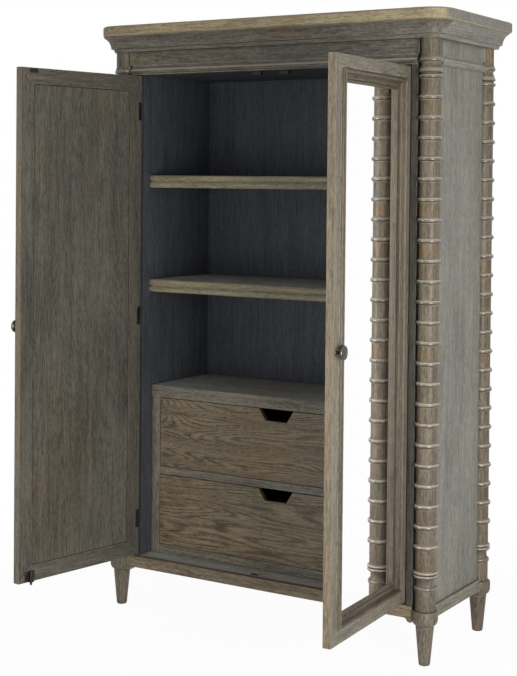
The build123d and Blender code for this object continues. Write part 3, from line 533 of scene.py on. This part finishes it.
def facing_mask(tree, direction):
    """1 on faces that look along a direction of the piece."""
    normal = put(tree, "ShaderNodeNewGeometry").outputs["True Normal"]
    normal = put(tree, "ShaderNodeVectorTransform", {"Vector": normal}, vector_type="NORMAL",
                 convert_from="WORLD", convert_to="OBJECT").outputs["Vector"]
    return ramped(tree, vectors(tree, "DOT_PRODUCT", normal, direction), 0.8, 0.95)


def ring_noses(tree, place):
    """1 on the noses of the post rings, by the distance from the nearest post axis."""
    sizes = bpy.context.scene.wardrobe_turning
    front, rear = post_axis("right", "front"), post_axis("right", "rear")
    part = put(tree, "ShaderNodeSeparateXYZ", {"Vector": place}).outputs
    aside = less(tree, maths(tree, "ABSOLUTE", part["X"]), front.x)
    deep = maths(tree, "ABSOLUTE", less(tree, part["Y"], (front.y + rear.y) / 2))
    deep = less(tree, deep, (rear.y - front.y) / 2)
    away = maths(tree, "SQRT", maths(tree, "ADD", product(tree, aside, aside), product(tree, deep, deep)))
    return ramped(tree, away, sizes.shaft_radius + NOSE_MARGINS[0], sizes.ring_radius - NOSE_MARGINS[1])


def make_wood(name, wood, direction=UP, mitre=None, seam=False, other=(), noses=False, warmth=0.25,
              figure=0.25, knots=0, wear=0.5, grime=0.6, reach=0.02, coat=0.05):
    """Oak with its grain along a direction, rubbed edges, and grime with painted shade in the corners.

    Faces that look along one of the other directions have the two tones given with it: painted light on
    upward faces, on ends that look sideways and on bead rims, and the own tones of door and back faces.
    With noses, each post ring gets a painted highlight above and painted shade below.
    """
    material, tree, shader = new_material(name)
    place = put(tree, "ShaderNodeTexCoord").outputs["Object"]
    if mitre:
        border = shared(tree, "Mitred grain", {"Vector": place, **mitre})
        direction = direction if seam else border["Direction"]
    island = put(tree, "ShaderNodeNewGeometry").outputs["Random Per Island"]
    piece = put(tree, "ShaderNodeObjectInfo").outputs["Random"]
    light, dark = tones(wood)
    for way, (other_light, other_dark) in other:
        mask = facing_mask(tree, way)
        light, dark = blended(tree, mask, light, other_light), blended(tree, mask, dark, other_dark)
    grain = shared(tree, "Board grain", {
        "Vector": place, "Direction": direction, "Light": light, "Dark": dark,
        "Shift": product(tree, maths(tree, "ADD", island, piece), ISLAND_SPREAD),
        "Warmth": warmth, "Figure": figure, "Knots": knots,
    })
    worn = rubbed_edges(tree, place, grain["Color"], "worn", wear)
    rubbed = worn["Color"]
    if seam:
        rubbed = blended(tree, border["Seam"], rubbed, tone("grime"))
    # Painted highlight on the upper side of each ring nose and painted shade under it, set by the upright
    # part of the shading normal; the coat is raised on the noses.
    if noses:
        nose = ring_noses(tree, place)
        normal = put(tree, "ShaderNodeNewGeometry").outputs["Normal"]
        rise = put(tree, "ShaderNodeSeparateXYZ", {"Vector": normal}).outputs["Z"]
        above = product(tree, nose, ramped(tree, rise, 0.05, 0.7))
        below = product(tree, nose, ramped(tree, product(tree, rise, -1), 0, 0.7))
        rubbed = blended(tree, product(tree, above, 0.52), rubbed, tone("painted_glint"))
        rubbed = blended(tree, product(tree, below, 0.85), rubbed, tone("grime"))
        coat = line(tree, nose, 0.8, coat)
    grimed_and_shaded = grime_and_corner_shade(tree, place, rubbed, grime, reach)
    polished = line(tree, worn["Mask"], -0.12, grain["Roughness"])
    feed(tree, shader, {
        "Base Color": grimed_and_shaded["Color"],
        "Roughness": line(tree, grimed_and_shaded["Mask"], 0.3, polished, clamp=True),
        "Normal": bumped(tree, grain["Height"], *RELIEF),
        "Specular IOR Level": 0.3,
        "Coat Weight": coat,
        "Coat Roughness": 0.22,
    })
    return material


def make_metal(name, base, roughness, rust, wear=0.6):
    """Dark metal with cloudy patina, brighter on its rubbed edges."""
    material, tree, shader = new_material(name)
    place = put(tree, "ShaderNodeTexCoord").outputs["Object"]
    cloud = noise(tree, place, 120, 4, 0.65)
    patina = product(tree, ramped(tree, cloud, 0.42, 0.7), rust)
    stained = blended(tree, patina, tone(base), tone("rust"))
    worn = rubbed_edges(tree, place, stained, "bright", wear)
    grimed_and_shaded = grime_and_corner_shade(tree, place, worn["Color"], 0.7, 0.006)
    feed(tree, shader, {
        "Base Color": grimed_and_shaded["Color"],
        "Roughness": line(tree, cloud, 0.3, roughness - 0.15),
        "Metallic": line(tree, patina, -0.5, 0.95),
        "Normal": bumped(tree, cloud, *METAL_RELIEF),
    })
    return material


def make_mirror(name):
    """Silvered glass with a faint haze and a few dull specks."""
    material, tree, shader = new_material(name)
    place = put(tree, "ShaderNodeTexCoord").outputs["Object"]
    haze = ramped(tree, noise(tree, place, 3, 4, 0.6), 0.4, 0.9)
    specks = product(tree, ramped(tree, noise(tree, place, 160), 0.76, 0.84), 0.5)
    feed(tree, shader, {
        "Base Color": blended(tree, specks, (0.985, 0.985, 0.985, 1), (0.45, 0.43, 0.4, 1)),
        "Roughness": line(tree, haze, 0.03, 0.008),
        "Metallic": 1,
    })
    return material


# ---- Shapes
def make_crisp_group():
    """Modifier nodes that join split faces, drop stored normals and keep sharp only real edges."""
    group = bpy.data.node_groups.new("Crisp edges", "GeometryNodeTree")
    group.is_modifier = True
    for direction in ("INPUT", "OUTPUT"):
        group.interface.new_socket("Geometry", in_out=direction, socket_type="NodeSocketGeometry")
    given = group.nodes.new("NodeGroupInput").outputs["Geometry"]
    joined = put(group, "GeometryNodeMergeByDistance", {"Geometry": given, "Distance": MERGED})
    bare = put(group, "GeometryNodeRemoveAttribute", {
        "Geometry": joined.outputs[0], "Name": "custom_normal"})
    faces = put(group, "GeometryNodeSetShadeSmooth",
                {"Geometry": bare.outputs[0], "Shade Smooth": True}, domain="FACE")
    bend = put(group, "GeometryNodeInputMeshEdgeAngle").outputs["Unsigned Angle"]
    smooth = put(group, "FunctionNodeCompare", {0: bend, 1: REAL_EDGE}, data_type="FLOAT",
                 operation="LESS_EQUAL")
    edges = put(group, "GeometryNodeSetShadeSmooth",
                {"Geometry": faces.outputs[0], "Shade Smooth": smooth.outputs[0]}, domain="EDGE")
    give(group, {"Geometry": edges.outputs[0]})


def crisp(piece, edge=0):
    """Clean shading, and a small rounding of every real edge where a width is given."""
    add = piece.modifiers.new
    set_up(add("Crisp edges", "NODES"), node_group=bpy.data.node_groups["Crisp edges"])
    if edge:
        set_up(add("Whole faces", "DECIMATE"), decimate_type="DISSOLVE", angle_limit=FLAT)
        set_up(add("Eased edges", "BEVEL"), width=edge, segments=2, limit_method="ANGLE",
               angle_limit=REAL_EDGE, miter_outer="MITER_ARC")
        set_up(add("Flat faces", "WEIGHTED_NORMAL"), keep_sharp=False, weight=100)


def dress(material, *names, edge=0.001):
    """Give CAD pieces a material and eased edges."""
    for name in names:
        nodes[name].material_slots[0].material = material
        crisp(nodes[name], edge)


def place_object(name, data):
    """New object in the scene."""
    piece = bpy.data.objects.new(name, data)
    bpy.context.collection.objects.link(piece)
    return piece


def new_mesh(name, vertices, faces, material):
    """Mesh with a material, in the scene."""
    mesh = bpy.data.meshes.new(name)
    mesh.from_pydata(vertices, [], faces)
    mesh.validate()
    mesh.materials.append(bpy.data.materials[material])
    return place_object(name, mesh)


def add_piece(name, vertices, faces, material, slot, body, replaced=()):
    """A new mesh in the frame that rides on a body."""
    piece = new_mesh(name, vertices, faces, material)
    crisp(piece)
    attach(piece, body)
    if replaced:
        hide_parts(*replaced)


def add_irons(name, parts, body):
    """One piece of black iron from several parts."""
    add_piece(name, *join(parts), "Black iron", "black_iron", body)


def join(parts):
    """One list of vertices and one of faces from several such pairs."""
    vertices, faces = [], []
    for part_vertices, part_faces in parts:
        base = len(vertices)
        vertices += part_vertices
        faces += [tuple(base + index for index in face) for face in part_faces]
    return vertices, faces


def wound(faces, place):
    """Faces turned over where the place is a mirrored one, so that they still face out."""
    return [tuple(reversed(face)) for face in faces] if place.determinant() < 0 else faces


def turned(outline, place, steps, start=0, sweep=2 * pi):
    """Turned form round the local z axis of a place; the outline runs from axis to axis.

    A part turn is closed by its two flat section faces.
    """
    whole = abs(sweep - 2 * pi) < 1e-6
    spans = steps if whole else max(2, round(steps * sweep / (2 * pi)))
    columns = spans + (not whole)
    rims = outline[1:-1]
    vertices = [place @ Vector((0, 0, outline[0][1])), place @ Vector((0, 0, outline[-1][1]))]
    for column in range(columns):
        turn = start + sweep * column / spans
        vertices += [place @ Vector((radius * cos(turn), radius * sin(turn), level))
                     for radius, level in rims]
    count = len(rims)
    faces = []
    for column in range(spans):
        near = 2 + column * count
        far = 2 + (column + 1) % columns * count
        faces.append((0, far, near))
        faces.append((1, near + count - 1, far + count - 1))
        faces += [(near + row, far + row, far + row + 1, near + row + 1) for row in range(count - 1)]
    if not whole:
        last = 2 + spans * count
        faces.append((0, *range(2, 2 + count), 1))
        faces.append((1, *reversed(range(last, last + count)), 0))
    return vertices, wound(faces, place)


def slab(low, high, place):
    """Plain block between two corners of a place."""
    corners = [place @ Vector((x, y, z)) for x in (low[0], high[0]) for y in (low[1], high[1])
               for z in (low[2], high[2])]
    faces = [(0, 1, 3, 2), (4, 6, 7, 5), (0, 4, 5, 1), (2, 3, 7, 6), (0, 2, 6, 4), (1, 5, 7, 3)]
    return corners, wound(faces, place)


def screw_head(place, radius, rise):
    """Domed screw head with a thin bar across it, its axis along the place's z axis."""
    outline = [(0, -SUNK), (radius * 0.8, -SUNK)]
    outline += [(radius * wide, rise * high) for wide, high in SCREW_DOME]
    (long, wide), (low, high) = [radius * part for part in BAR], [rise * part for part in BAR_RISE]
    bar = slab((-long, -wide, low), (long, wide, high), place)
    return join([turned(outline, place, SCREW_STEPS), bar])


def round_nose(root, nose, level, half_height):
    """Half section of a round bead as (radius, height) points."""
    points = []
    for step in range(NOSE_STEPS + 1):
        turn = pi * (step / NOSE_STEPS - 0.5)
        points.append((root + (nose - root) * cos(turn) ** NOSE_FULLNESS, level + half_height * sin(turn)))
    return points


def raised(base, points):
    """Points of a half section whose heights are counted from a base."""
    return [(radius, base + level) for radius, level in points]


def post_outline(sizes):
    """Half section of a post as (radius, height) points, from its foot to the crown."""
    shaft, ring, neck = sizes.shaft_radius, sizes.ring_radius, sizes.neck_radius
    step, half = sizes.fillet, sizes.nose_half_height
    root, collar, cap = shaft + step, shaft + 2 * step, shaft + step / 2
    outline = [(0, post_low.z), (shaft - step, post_low.z), (shaft, post_low.z + step)]
    outline += raised(floor_level, [
        (shaft, 0.054), (root, 0.0555), *round_nose(root, ring - 0.003, 0.062, half - 0.001),
        (shaft - 0.0015, 0.069), (neck + 0.001, 0.074), (neck, 0.08), (neck, 0.086), (neck + 0.002, 0.092),
        (shaft, 0.0955), (root, 0.096), *round_nose(root, ring, 0.1015, half - 0.0018),
        *round_nose(root, ring, 0.1125, half - 0.0018), (root, 0.119), (shaft, 0.1205)])
    pitch = (sizes.highest_ring - sizes.lowest_ring) / (sizes.ring_count - 1)
    for index in range(sizes.ring_count):
        outline += raised(sizes.lowest_ring + index * pitch, [
            (shaft, -half - 2 * step), (root, -half - step), *round_nose(root, ring, 0, half),
            (root, half + step), (shaft, half + 2 * step)])
    outline += raised(head_level, [
        (shaft, -0.049), (root, -0.0475), *round_nose(root, ring, -0.04, half - 0.0004),
        (shaft, -0.0328), (shaft, -0.029), (ring - 0.0015, -0.0275), (ring, -0.0255),
        (ring - 0.0002, -0.0225), (shaft + 0.0035, -0.015), (shaft + 0.0005, -0.008),
        (shaft - 0.0018, -0.002), (shaft - 0.0018, 0.003),
        (root, 0.0055), *round_nose(root, ring - 0.001, 0.0125, half - 0.0006),
        (collar, 0.0195), (collar, 0.0225), (cap, 0.024), (cap, 0.029), (shaft, 0.03)])
    return outline + [(shaft, post_high.z), (0, post_high.z)]


def foot_outline(sizes):
    """Half section of a tapered foot and its collar as (radius, height) points."""
    tip, top, collar = sizes.foot_tip_radius, sizes.foot_top_radius, sizes.collar_radius
    outline = [(0, 0), (tip - 0.0045, 0), (tip - 0.0015, 0.0013), (tip, 0.005)]
    outline += raised(sizes.foot_height, [
        (top - 0.0004, -0.006), (top - 0.0016, -0.0045), (top - 0.0016, -0.003), (top + 0.001, 0),
        (collar - 0.009, 0.001), (collar - 0.004, 0.006), (collar - 0.001, 0.012), (collar, 0.019)])
    return outline + raised(post_low.z, [
        (collar, -0.006), (collar - 0.0012, -0.0022), (collar - 0.004, 0), (0, 0)])


# ---- Operators
class WARDROBE_OT_turned_posts(Operator):
    """Turn the four corner posts with their rings"""

    bl_idname = "wardrobe.turned_posts"
    bl_label = "Turned posts"

    def execute(self, context):
        sizes = context.scene.wardrobe_turning
        outline = post_outline(sizes)
        quarter = pi / 2
        starts = {("front", "right"): 2, ("front", "left"): 1, ("rear", "right"): 3, ("rear", "left"): 0}
        for (end, side), quarters in starts.items():
            place = Matrix.Translation(post_axis(side, end))
            form = turned(outline, place, sizes.steps, quarters * quarter, 3 * quarter)
            node = f"{end}_{side}_post"
            add_piece(f"{node}_turned", *form, "Post oak", "turned_oak", "carcass", (node,))
        return {"FINISHED"}


class WARDROBE_OT_turned_feet(Operator):
    """Turn the four tapered feet with their collars"""

    bl_idname = "wardrobe.turned_feet"
    bl_label = "Turned feet"

    def execute(self, context):
        sizes = context.scene.wardrobe_turning
        outline = foot_outline(sizes)
        parts = [turned(outline, Matrix.Translation(post_axis(side, end)), sizes.steps)
                 for end in ("front", "rear") for side in SIDES]
        add_piece("turned_feet_round", *join(parts), "Foot oak", "turned_oak", "carcass", ("turned_feet",))
        return {"FINISHED"}


class WARDROBE_OT_knobs(Operator):
    """Turn the two door knobs with their rosettes"""

    bl_idname = "wardrobe.knobs"
    bl_label = "Door knobs"

    def execute(self, context):
        stem, plate = KNOB_STEM_RADIUS, ROSETTE_RADIUS
        rosette = [(0, 0.0002), (plate, 0.0002), (plate, 0.001), (plate - 0.0012, 0.0022),
                   (plate - 0.0036, 0.003), (stem + 0.0016, 0.0026), (stem + 0.0006, 0.0034), (0, 0.0034)]
        for side in SIDES:
            door = door_place(side)
            low, high = measured(f"{side}_knob", door)
            middle = (low + high) / 2
            radius, reach = (high.z - low.z) / 2, -low.y
            place = door @ shifted(middle.x, 0, middle.z) @ Matrix.Rotation(pi / 2, 4, "X")
            knob = [(0, 0.001), (stem, 0.001), (stem, 0.0048), (stem + 0.001, 0.008)]
            knob += [(stem + 0.0042, 0.011), *((radius * wide, reach * far) for wide, far in KNOB_DOME)]
            parts = [turned(outline, place, KNOB_STEPS) for outline in (knob, rosette)]
            add_piece(f"{side}_knob_turned", *join(parts), "Aged knob metal", "aged_bronze",
                      f"{side}_door", (f"{side}_knob",))
        return {"FINISHED"}


class WARDROBE_OT_hinge_screws(Operator):
    """Put the screws in the hinge leaves of the doors and of the case"""

    bl_idname = "wardrobe.hinge_screws"
    bl_label = "Hinge screws"

    def execute(self, context):
        sizes = context.scene.wardrobe_fittings
        radius, pitch = sizes.screw_radius, HINGE_SCREW_PITCH
        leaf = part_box("hinge_frame_leaves")[1]
        case_parts = []
        for side in SIDES:
            hinge, door = f"{side}_door_hinge", door_place(side)
            behind = measured(f"{hinge}_leaves", door)[1].y
            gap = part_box("side_linings")[0].y - joints[hinge]["pos_m"][1] - behind
            rise = min(sizes.screw_rise, 0.5 * gap)
            if rise <= 0:
                raise RuntimeError("the closed door leaves no room for its hinge screws")
            levels = hinge_levels(f"{hinge}_leaves")
            parts = [screw_head(inner_face(door, DOOR_LEAF_SCREWS, behind, level + offset), radius, rise)
                     for level in levels for offset in (-pitch, pitch)]
            add_irons(f"{side}_hinge_screws", parts, f"{side}_door")
            hand = -1 if side == "left" else 1
            turn = Matrix.Rotation(-hand * pi / 2, 4, "Y")
            for level in levels:
                for offset in (-pitch, 0, pitch):
                    place = shifted(hand * (leaf.x - CASE_LEAF_THICKNESS), leaf.y - CASE_LEAF_SCREWS,
                                    level + offset)
                    case_parts.append(screw_head(place @ turn, radius, rise * 0.55))
        add_irons("case_hinge_screws", case_parts, "carcass")
        return {"FINISHED"}


class WARDROBE_OT_panel_pins(Operator):
    """Drive the small pins that hold the inner door panels"""

    bl_idname = "wardrobe.panel_pins"
    bl_label = "Panel pins"

    def execute(self, context):
        sizes = context.scene.wardrobe_fittings
        radius, inset, rows = sizes.pin_radius, sizes.pin_inset, sizes.pin_rows
        outline = [(0, -0.001), (radius, -0.001), (radius, 0.0002), (radius * 0.7, 0.0006), (0, 0.0008)]
        for side in SIDES:
            door = door_place(side)
            low, high = measured(f"{side}_door_panel", door)
            first, last = low.z + PANEL_PIN_END, high.z - PANEL_PIN_END
            parts = []
            for row in range(rows + 1):
                level = first + (last - first) * row / rows
                parts += [turned(outline, inner_face(door, along, high.y, level), PIN_STEPS)
                          for along in (low.x + inset, high.x - inset)]
            add_irons(f"{side}_panel_pins", parts, f"{side}_door")
        return {"FINISHED"}


class WARDROBE_OT_fitting_screws(Operator):
    """Put the screws in the strikes, the bolt plate and the floor socket"""

    bl_idname = "wardrobe.fitting_screws"
    bl_label = "Fitting screws"

    def execute(self, context):
        sizes = context.scene.wardrobe_fittings
        radius, rise = sizes.screw_radius * 0.75, sizes.screw_rise * 0.7
        inset = PLATE_SCREW_INSET
        for side in SIDES:
            door = door_place(side)
            low, high = measured(f"{side}_strike", door)
            middle = (low.z + high.z) / 2
            parts = [screw_head(inner_face(door, along, high.y, middle), radius, rise * 0.6)
                     for along in (low.x + inset, high.x - inset)]
            if side == "left":
                low, high = measured("left_bolt_case", door)
                plate = measured("left_door_panel", door)[1].y + BOLT_PLATE_THICKNESS
                parts += [screw_head(inner_face(door, along, plate, level), radius, rise)
                          for along in (low.x + inset, high.x - inset)
                          for level in (low.z + inset, high.z - inset)]
            add_irons(f"{side}_fitting_screws", parts, f"{side}_door")
        low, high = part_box("floor_socket")
        parts = [screw_head(shifted(x, (low.y + high.y) / 2, high.z), radius * 0.9, rise * 0.5)
                 for x in (low.x + SOCKET_SCREW_INSET, high.x - SOCKET_SCREW_INSET)]
        add_irons("socket_screws", parts, "carcass")
        return {"FINISHED"}


def dress_outside():
    """Finishes of the case seen from outside."""
    # Painted side light: faces that look along x, such as the board ends, take the grey of the sides.
    painted_side_ends = [(way, tones("grey")) for way in (ACROSS, (-1, 0, 0))]
    # Painted highlight: faces of the beads that look up and out take the pale glint over the worn tone.
    glint = (tone("painted_glint"), tone("worn"))
    rims = [(way, glint) for way in ((-0.5, 0, 0.87), (0.5, 0, 0.87), (0, -0.5, 0.87))]
    dress(make_wood("Top oak with painted side light", "khaki", ACROSS, other=painted_side_ends), "top_board", edge=0.0014)
    dress(make_wood("Cornice oak with painted side light", "cornice", ACROSS, other=painted_side_ends, warmth=0.5),
          "front_crown", "front_frieze", "head_rail")
    dress(make_wood("Front bead oak with painted glint", "cornice", ACROSS, other=rims, wear=0.9), "front_bead")
    dress(make_wood("Side bead oak with painted side light and glint", "grey", DEEP, other=rims, wear=0.9), "side_beads")
    dress(make_wood("Front oak", "brown", ACROSS, warmth=0.5), "front_base_rail", "rear_base_rail")
    dress(make_wood("Side cornice oak in painted side light", "grey", DEEP, figure=0.15, warmth=0.1), "side_crowns")
    dress(make_wood("Side rail oak", "unit", DEEP, figure=0.15), "side_base_rails")
    dress(make_wood("Side oak in painted side light", "grey", figure=0.15, warmth=0.1, wear=0.3), "side_panels")
    dress(make_wood("Jamb oak in painted shade", "jamb"), "front_stiles")
    dress(make_wood("Upright oak", "brown", warmth=0.4), "rear_stiles")


def dress_inside():
    """Finishes of the lining, the shelves and the drawers."""
    # Painted light: faces that look up take the pale upper tones.
    top = [(UP, tones("upper"))]
    back = [(DEEP, tones("shade"))]
    stained = {"figure": 0.1, "wear": 0.15, "warmth": 0}
    dress(make_wood("Unit oak", "unit"), "drawer_unit_stiles")
    dress(make_wood("Unit oak across with painted lit tops", "unit", ACROSS, other=top),
          "drawer_unit_top", "drawer_middle_rail", "drawer_bottom_rail", "floor_board")
    dress(make_wood("Nosing oak with painted lit tops", "nosing", ACROSS, other=top, figure=0.2, wear=0.9, grime=1,
                    reach=0.01), "upper_shelf", "middle_shelf", edge=0.0008)
    dress(make_wood("Drawer oak", "brown", ACROSS, warmth=0.4, figure=1.05, knots=1),
          "upper_drawer_front", "lower_drawer_front", edge=0.0014)
    dress(make_wood("Inside oak", "inside", **stained), "side_linings", edge=0.0006)
    dress(make_wood("Back oak", "inside", other=back, **stained), "back_planks", edge=0.0006)
    dress(make_wood("Inside oak across", "inside", ACROSS, **stained), "ceiling_board", edge=0.0006)
    boxes = [f"{drawer}_drawer_{part}" for drawer in ("upper", "lower")
             for part in ("sides", "back", "bottom")]
    dress(make_wood("Plain wood", "plain", DEEP, figure=0.5, wear=0.2, coat=0),
          "shelf_cleats", "drawer_runners", *boxes, edge=0.0006)


def dress_door(side):
    """Finishes of the wood of a door."""
    door = door_place(side)
    along, behind = door.col[0].xyz, door.col[1].xyz
    faces = [(behind, tones("shade")), (-behind, tones("face"))]

    def edges(node):
        """Place and size of a CAD node on the door."""
        low, high = measured(node, door)
        return {"Corner": door @ Vector((low.x, 0, low.z)), "Along": along,
                "Width": high.x - low.x, "Height": high.z - low.z}

    moulding, stiles, panel = f"{side}_door_moulding", f"{side}_door_stiles", f"{side}_door_panel"
    dress(make_wood(f"{side} moulding oak", "moulding", mitre=edges(moulding), warmth=0.35, reach=0.012,
                    grime=0.9), moulding, edge=0)
    dress(make_wood(f"{side} frame oak", "frame", mitre=edges(stiles), other=faces, warmth=0.3),
          stiles, f"{side}_door_rails", edge=0.0012)
    dress(make_wood(f"{side} panel oak", "shade", mitre=edges(panel), seam=True, warmth=0.5,
                    figure=0.35, wear=0.2), panel, edge=0.0005)


class WARDROBE_OT_finish(Operator):
    """Make the finishes and give each CAD piece its own, with eased edges"""

    bl_idname = "wardrobe.finish"
    bl_label = "Finishes"

    def execute(self, context):
        make_grain_group()
        make_wear_group()
        make_grime_and_shade_group()
        make_mitre_group()
        make_crisp_group()
        make_wood("Post oak", "umber", noses=True, grime=0.95, reach=0.01, warmth=0.65, figure=0.15)
        make_wood("Foot oak", "foot", figure=0.15)
        dress_outside()
        dress_inside()
        for side in SIDES:
            dress_door(side)
        dress(make_metal("Black iron", "iron", 0.5, 0.5, wear=0.2),
              "left_door_hinge_leaves", "right_door_hinge_leaves", "hinge_frame_leaves", "left_strike",
              "right_strike", "ceiling_catches", "left_bolt", "left_bolt_case", "floor_socket", edge=0.0004)
        make_metal("Aged knob metal", "bronze", 0.28, 0.25)
        dress(make_mirror("Mirror glass"), "left_door_mirror", "right_door_mirror", edge=0)
        return {"FINISHED"}


def add_camera(scene, stage):
    """Camera turned by its yaw, pitch and roll."""
    yaw, pitch, roll = stage.camera_yaw, stage.camera_pitch, stage.camera_roll
    forward = Vector((-sin(yaw) * cos(pitch), cos(yaw) * cos(pitch), -sin(pitch)))
    level = Vector((cos(yaw), sin(yaw), 0))
    above = level.cross(forward)
    right = level * cos(roll) + above * sin(roll)
    above = above * cos(roll) - level * sin(roll)
    camera = place_object("Camera", bpy.data.cameras.new("Camera"))
    set_up(camera.data, lens=stage.lens, shift_y=stage.shift, clip_end=60)
    camera.matrix_world = Matrix((right, above, -forward)).transposed().to_4x4()
    camera.location = stage.camera_place
    scene.camera = camera


def add_floor(stage):
    """Pale floor that catches the shadow and fades to white away from the feet."""
    _, tree, shader = new_material("Pale floor")
    feed(tree, shader, {
        "Base Color": (*stage.floor_colour, 1), "Roughness": 0.9, "Specular IOR Level": 0.1})
    white = put(tree, "ShaderNodeEmission")
    place = put(tree, "ShaderNodeTexCoord").outputs["Object"]
    away = ramped(tree, vectors(tree, "LENGTH", place), 0.6, 2.2)
    part = product(tree, seen_ray(tree), line(tree, away, stage.halo, 1 - stage.halo))
    mix = put(tree, "ShaderNodeMixShader", {
        0: part, 1: shader.outputs["BSDF"], 2: white.outputs["Emission"]})
    output = next(node for node in tree.nodes if node.type == "OUTPUT_MATERIAL")
    feed(tree, output, {"Surface": mix.outputs["Shader"]})
    size = stage.floor_size
    corners = [(-size, -size, 0), (size, -size, 0), (size, size, 0), (-size, size, 0)]
    floor = new_mesh("Floor", corners, [(0, 1, 2, 3)], "Pale floor")
    floor.location.z = -FLOOR_DROP


def add_sky(scene, stage):
    """Even light that looks white."""
    world = bpy.data.worlds.new("Sky")
    world.use_nodes = True
    tree = world.node_tree
    tree.nodes.clear()
    strength = put(tree, "ShaderNodeMix", {0: seen_ray(tree), 2: stage.sky, 3: 1}, data_type="FLOAT")
    light = put(tree, "ShaderNodeBackground", {"Color": (1, 1, 1, 1), "Strength": strength.outputs[0]})
    put(tree, "ShaderNodeOutputWorld", {"Surface": light.outputs["Background"]})
    scene.world = world


def add_lamp(stage, name):
    """Square lamp turned to the wardrobe."""
    lamp = place_object(f"{name}_lamp", bpy.data.lights.new(f"{name}_lamp", "AREA"))
    size, energy, tint, place = [getattr(stage, f"{name}_{part}")
                                 for part in ("size", "power", "colour", "place")]
    set_up(lamp.data, size=size, energy=energy, color=tint)
    turn = (Vector(stage.lamp_aim) - Vector(place)).to_track_quat("-Z", "Y").to_euler()
    set_up(lamp, location=place, rotation_euler=turn)


class WARDROBE_OT_stage(Operator):
    """Set the floor, the lamps, the sky and the camera"""

    bl_idname = "wardrobe.stage"
    bl_label = "Stage"

    def execute(self, context):
        scene = context.scene
        stage = scene.wardrobe_stage
        scene.view_settings.view_transform = "Standard"
        add_camera(scene, stage)
        add_floor(stage)
        add_sky(scene, stage)
        for name in ("key", "fill"):
            add_lamp(stage, name)
        return {"FINISHED"}


class WARDROBE_PT_panel(Panel):
    """Lists the steps that dress the wardrobe"""

    bl_idname = "WARDROBE_PT_panel"
    bl_label = "Wardrobe"
    bl_space_type = "VIEW_3D"
    bl_region_type = "UI"
    bl_category = "Wardrobe"

    def draw(self, context):
        for operator in OPERATORS:
            self.layout.operator(operator.bl_idname)
        for group in GROUPS:
            settings = getattr(context.scene, group)
            box = self.layout.box()
            for name in settings.bl_rna.properties.keys():
                if name not in ("rna_type", "name"):
                    box.prop(settings, name)


OPERATORS = (
    WARDROBE_OT_finish,
    WARDROBE_OT_turned_posts,
    WARDROBE_OT_turned_feet,
    WARDROBE_OT_knobs,
    WARDROBE_OT_hinge_screws,
    WARDROBE_OT_panel_pins,
    WARDROBE_OT_fitting_screws,
    WARDROBE_OT_stage,
)
GROUPS = {
    "wardrobe_turning": WardrobeTurning,
    "wardrobe_fittings": WardrobeFittings,
    "wardrobe_colours": WardrobeColours,
    "wardrobe_stage": WardrobeStage,
}


def register():
    for name, group in GROUPS.items():
        bpy.utils.register_class(group)
        setattr(Scene, name, PointerProperty(type=group))
    for kind in (*OPERATORS, WARDROBE_PT_panel):
        bpy.utils.register_class(kind)


def unregister():
    for kind in (WARDROBE_PT_panel, *reversed(OPERATORS)):
        bpy.utils.unregister_class(kind)
    for name, group in reversed(GROUPS.items()):
        delattr(Scene, name)
        bpy.utils.unregister_class(group)


def main():
    register()
    bpy.ops.wardrobe.finish()
    bpy.ops.wardrobe.turned_posts()
    bpy.ops.wardrobe.turned_feet()
    bpy.ops.wardrobe.knobs()
    bpy.ops.wardrobe.hinge_screws()
    bpy.ops.wardrobe.panel_pins()
    bpy.ops.wardrobe.fitting_screws()
    bpy.ops.wardrobe.stage()


if __name__ == "__main__":
    main()
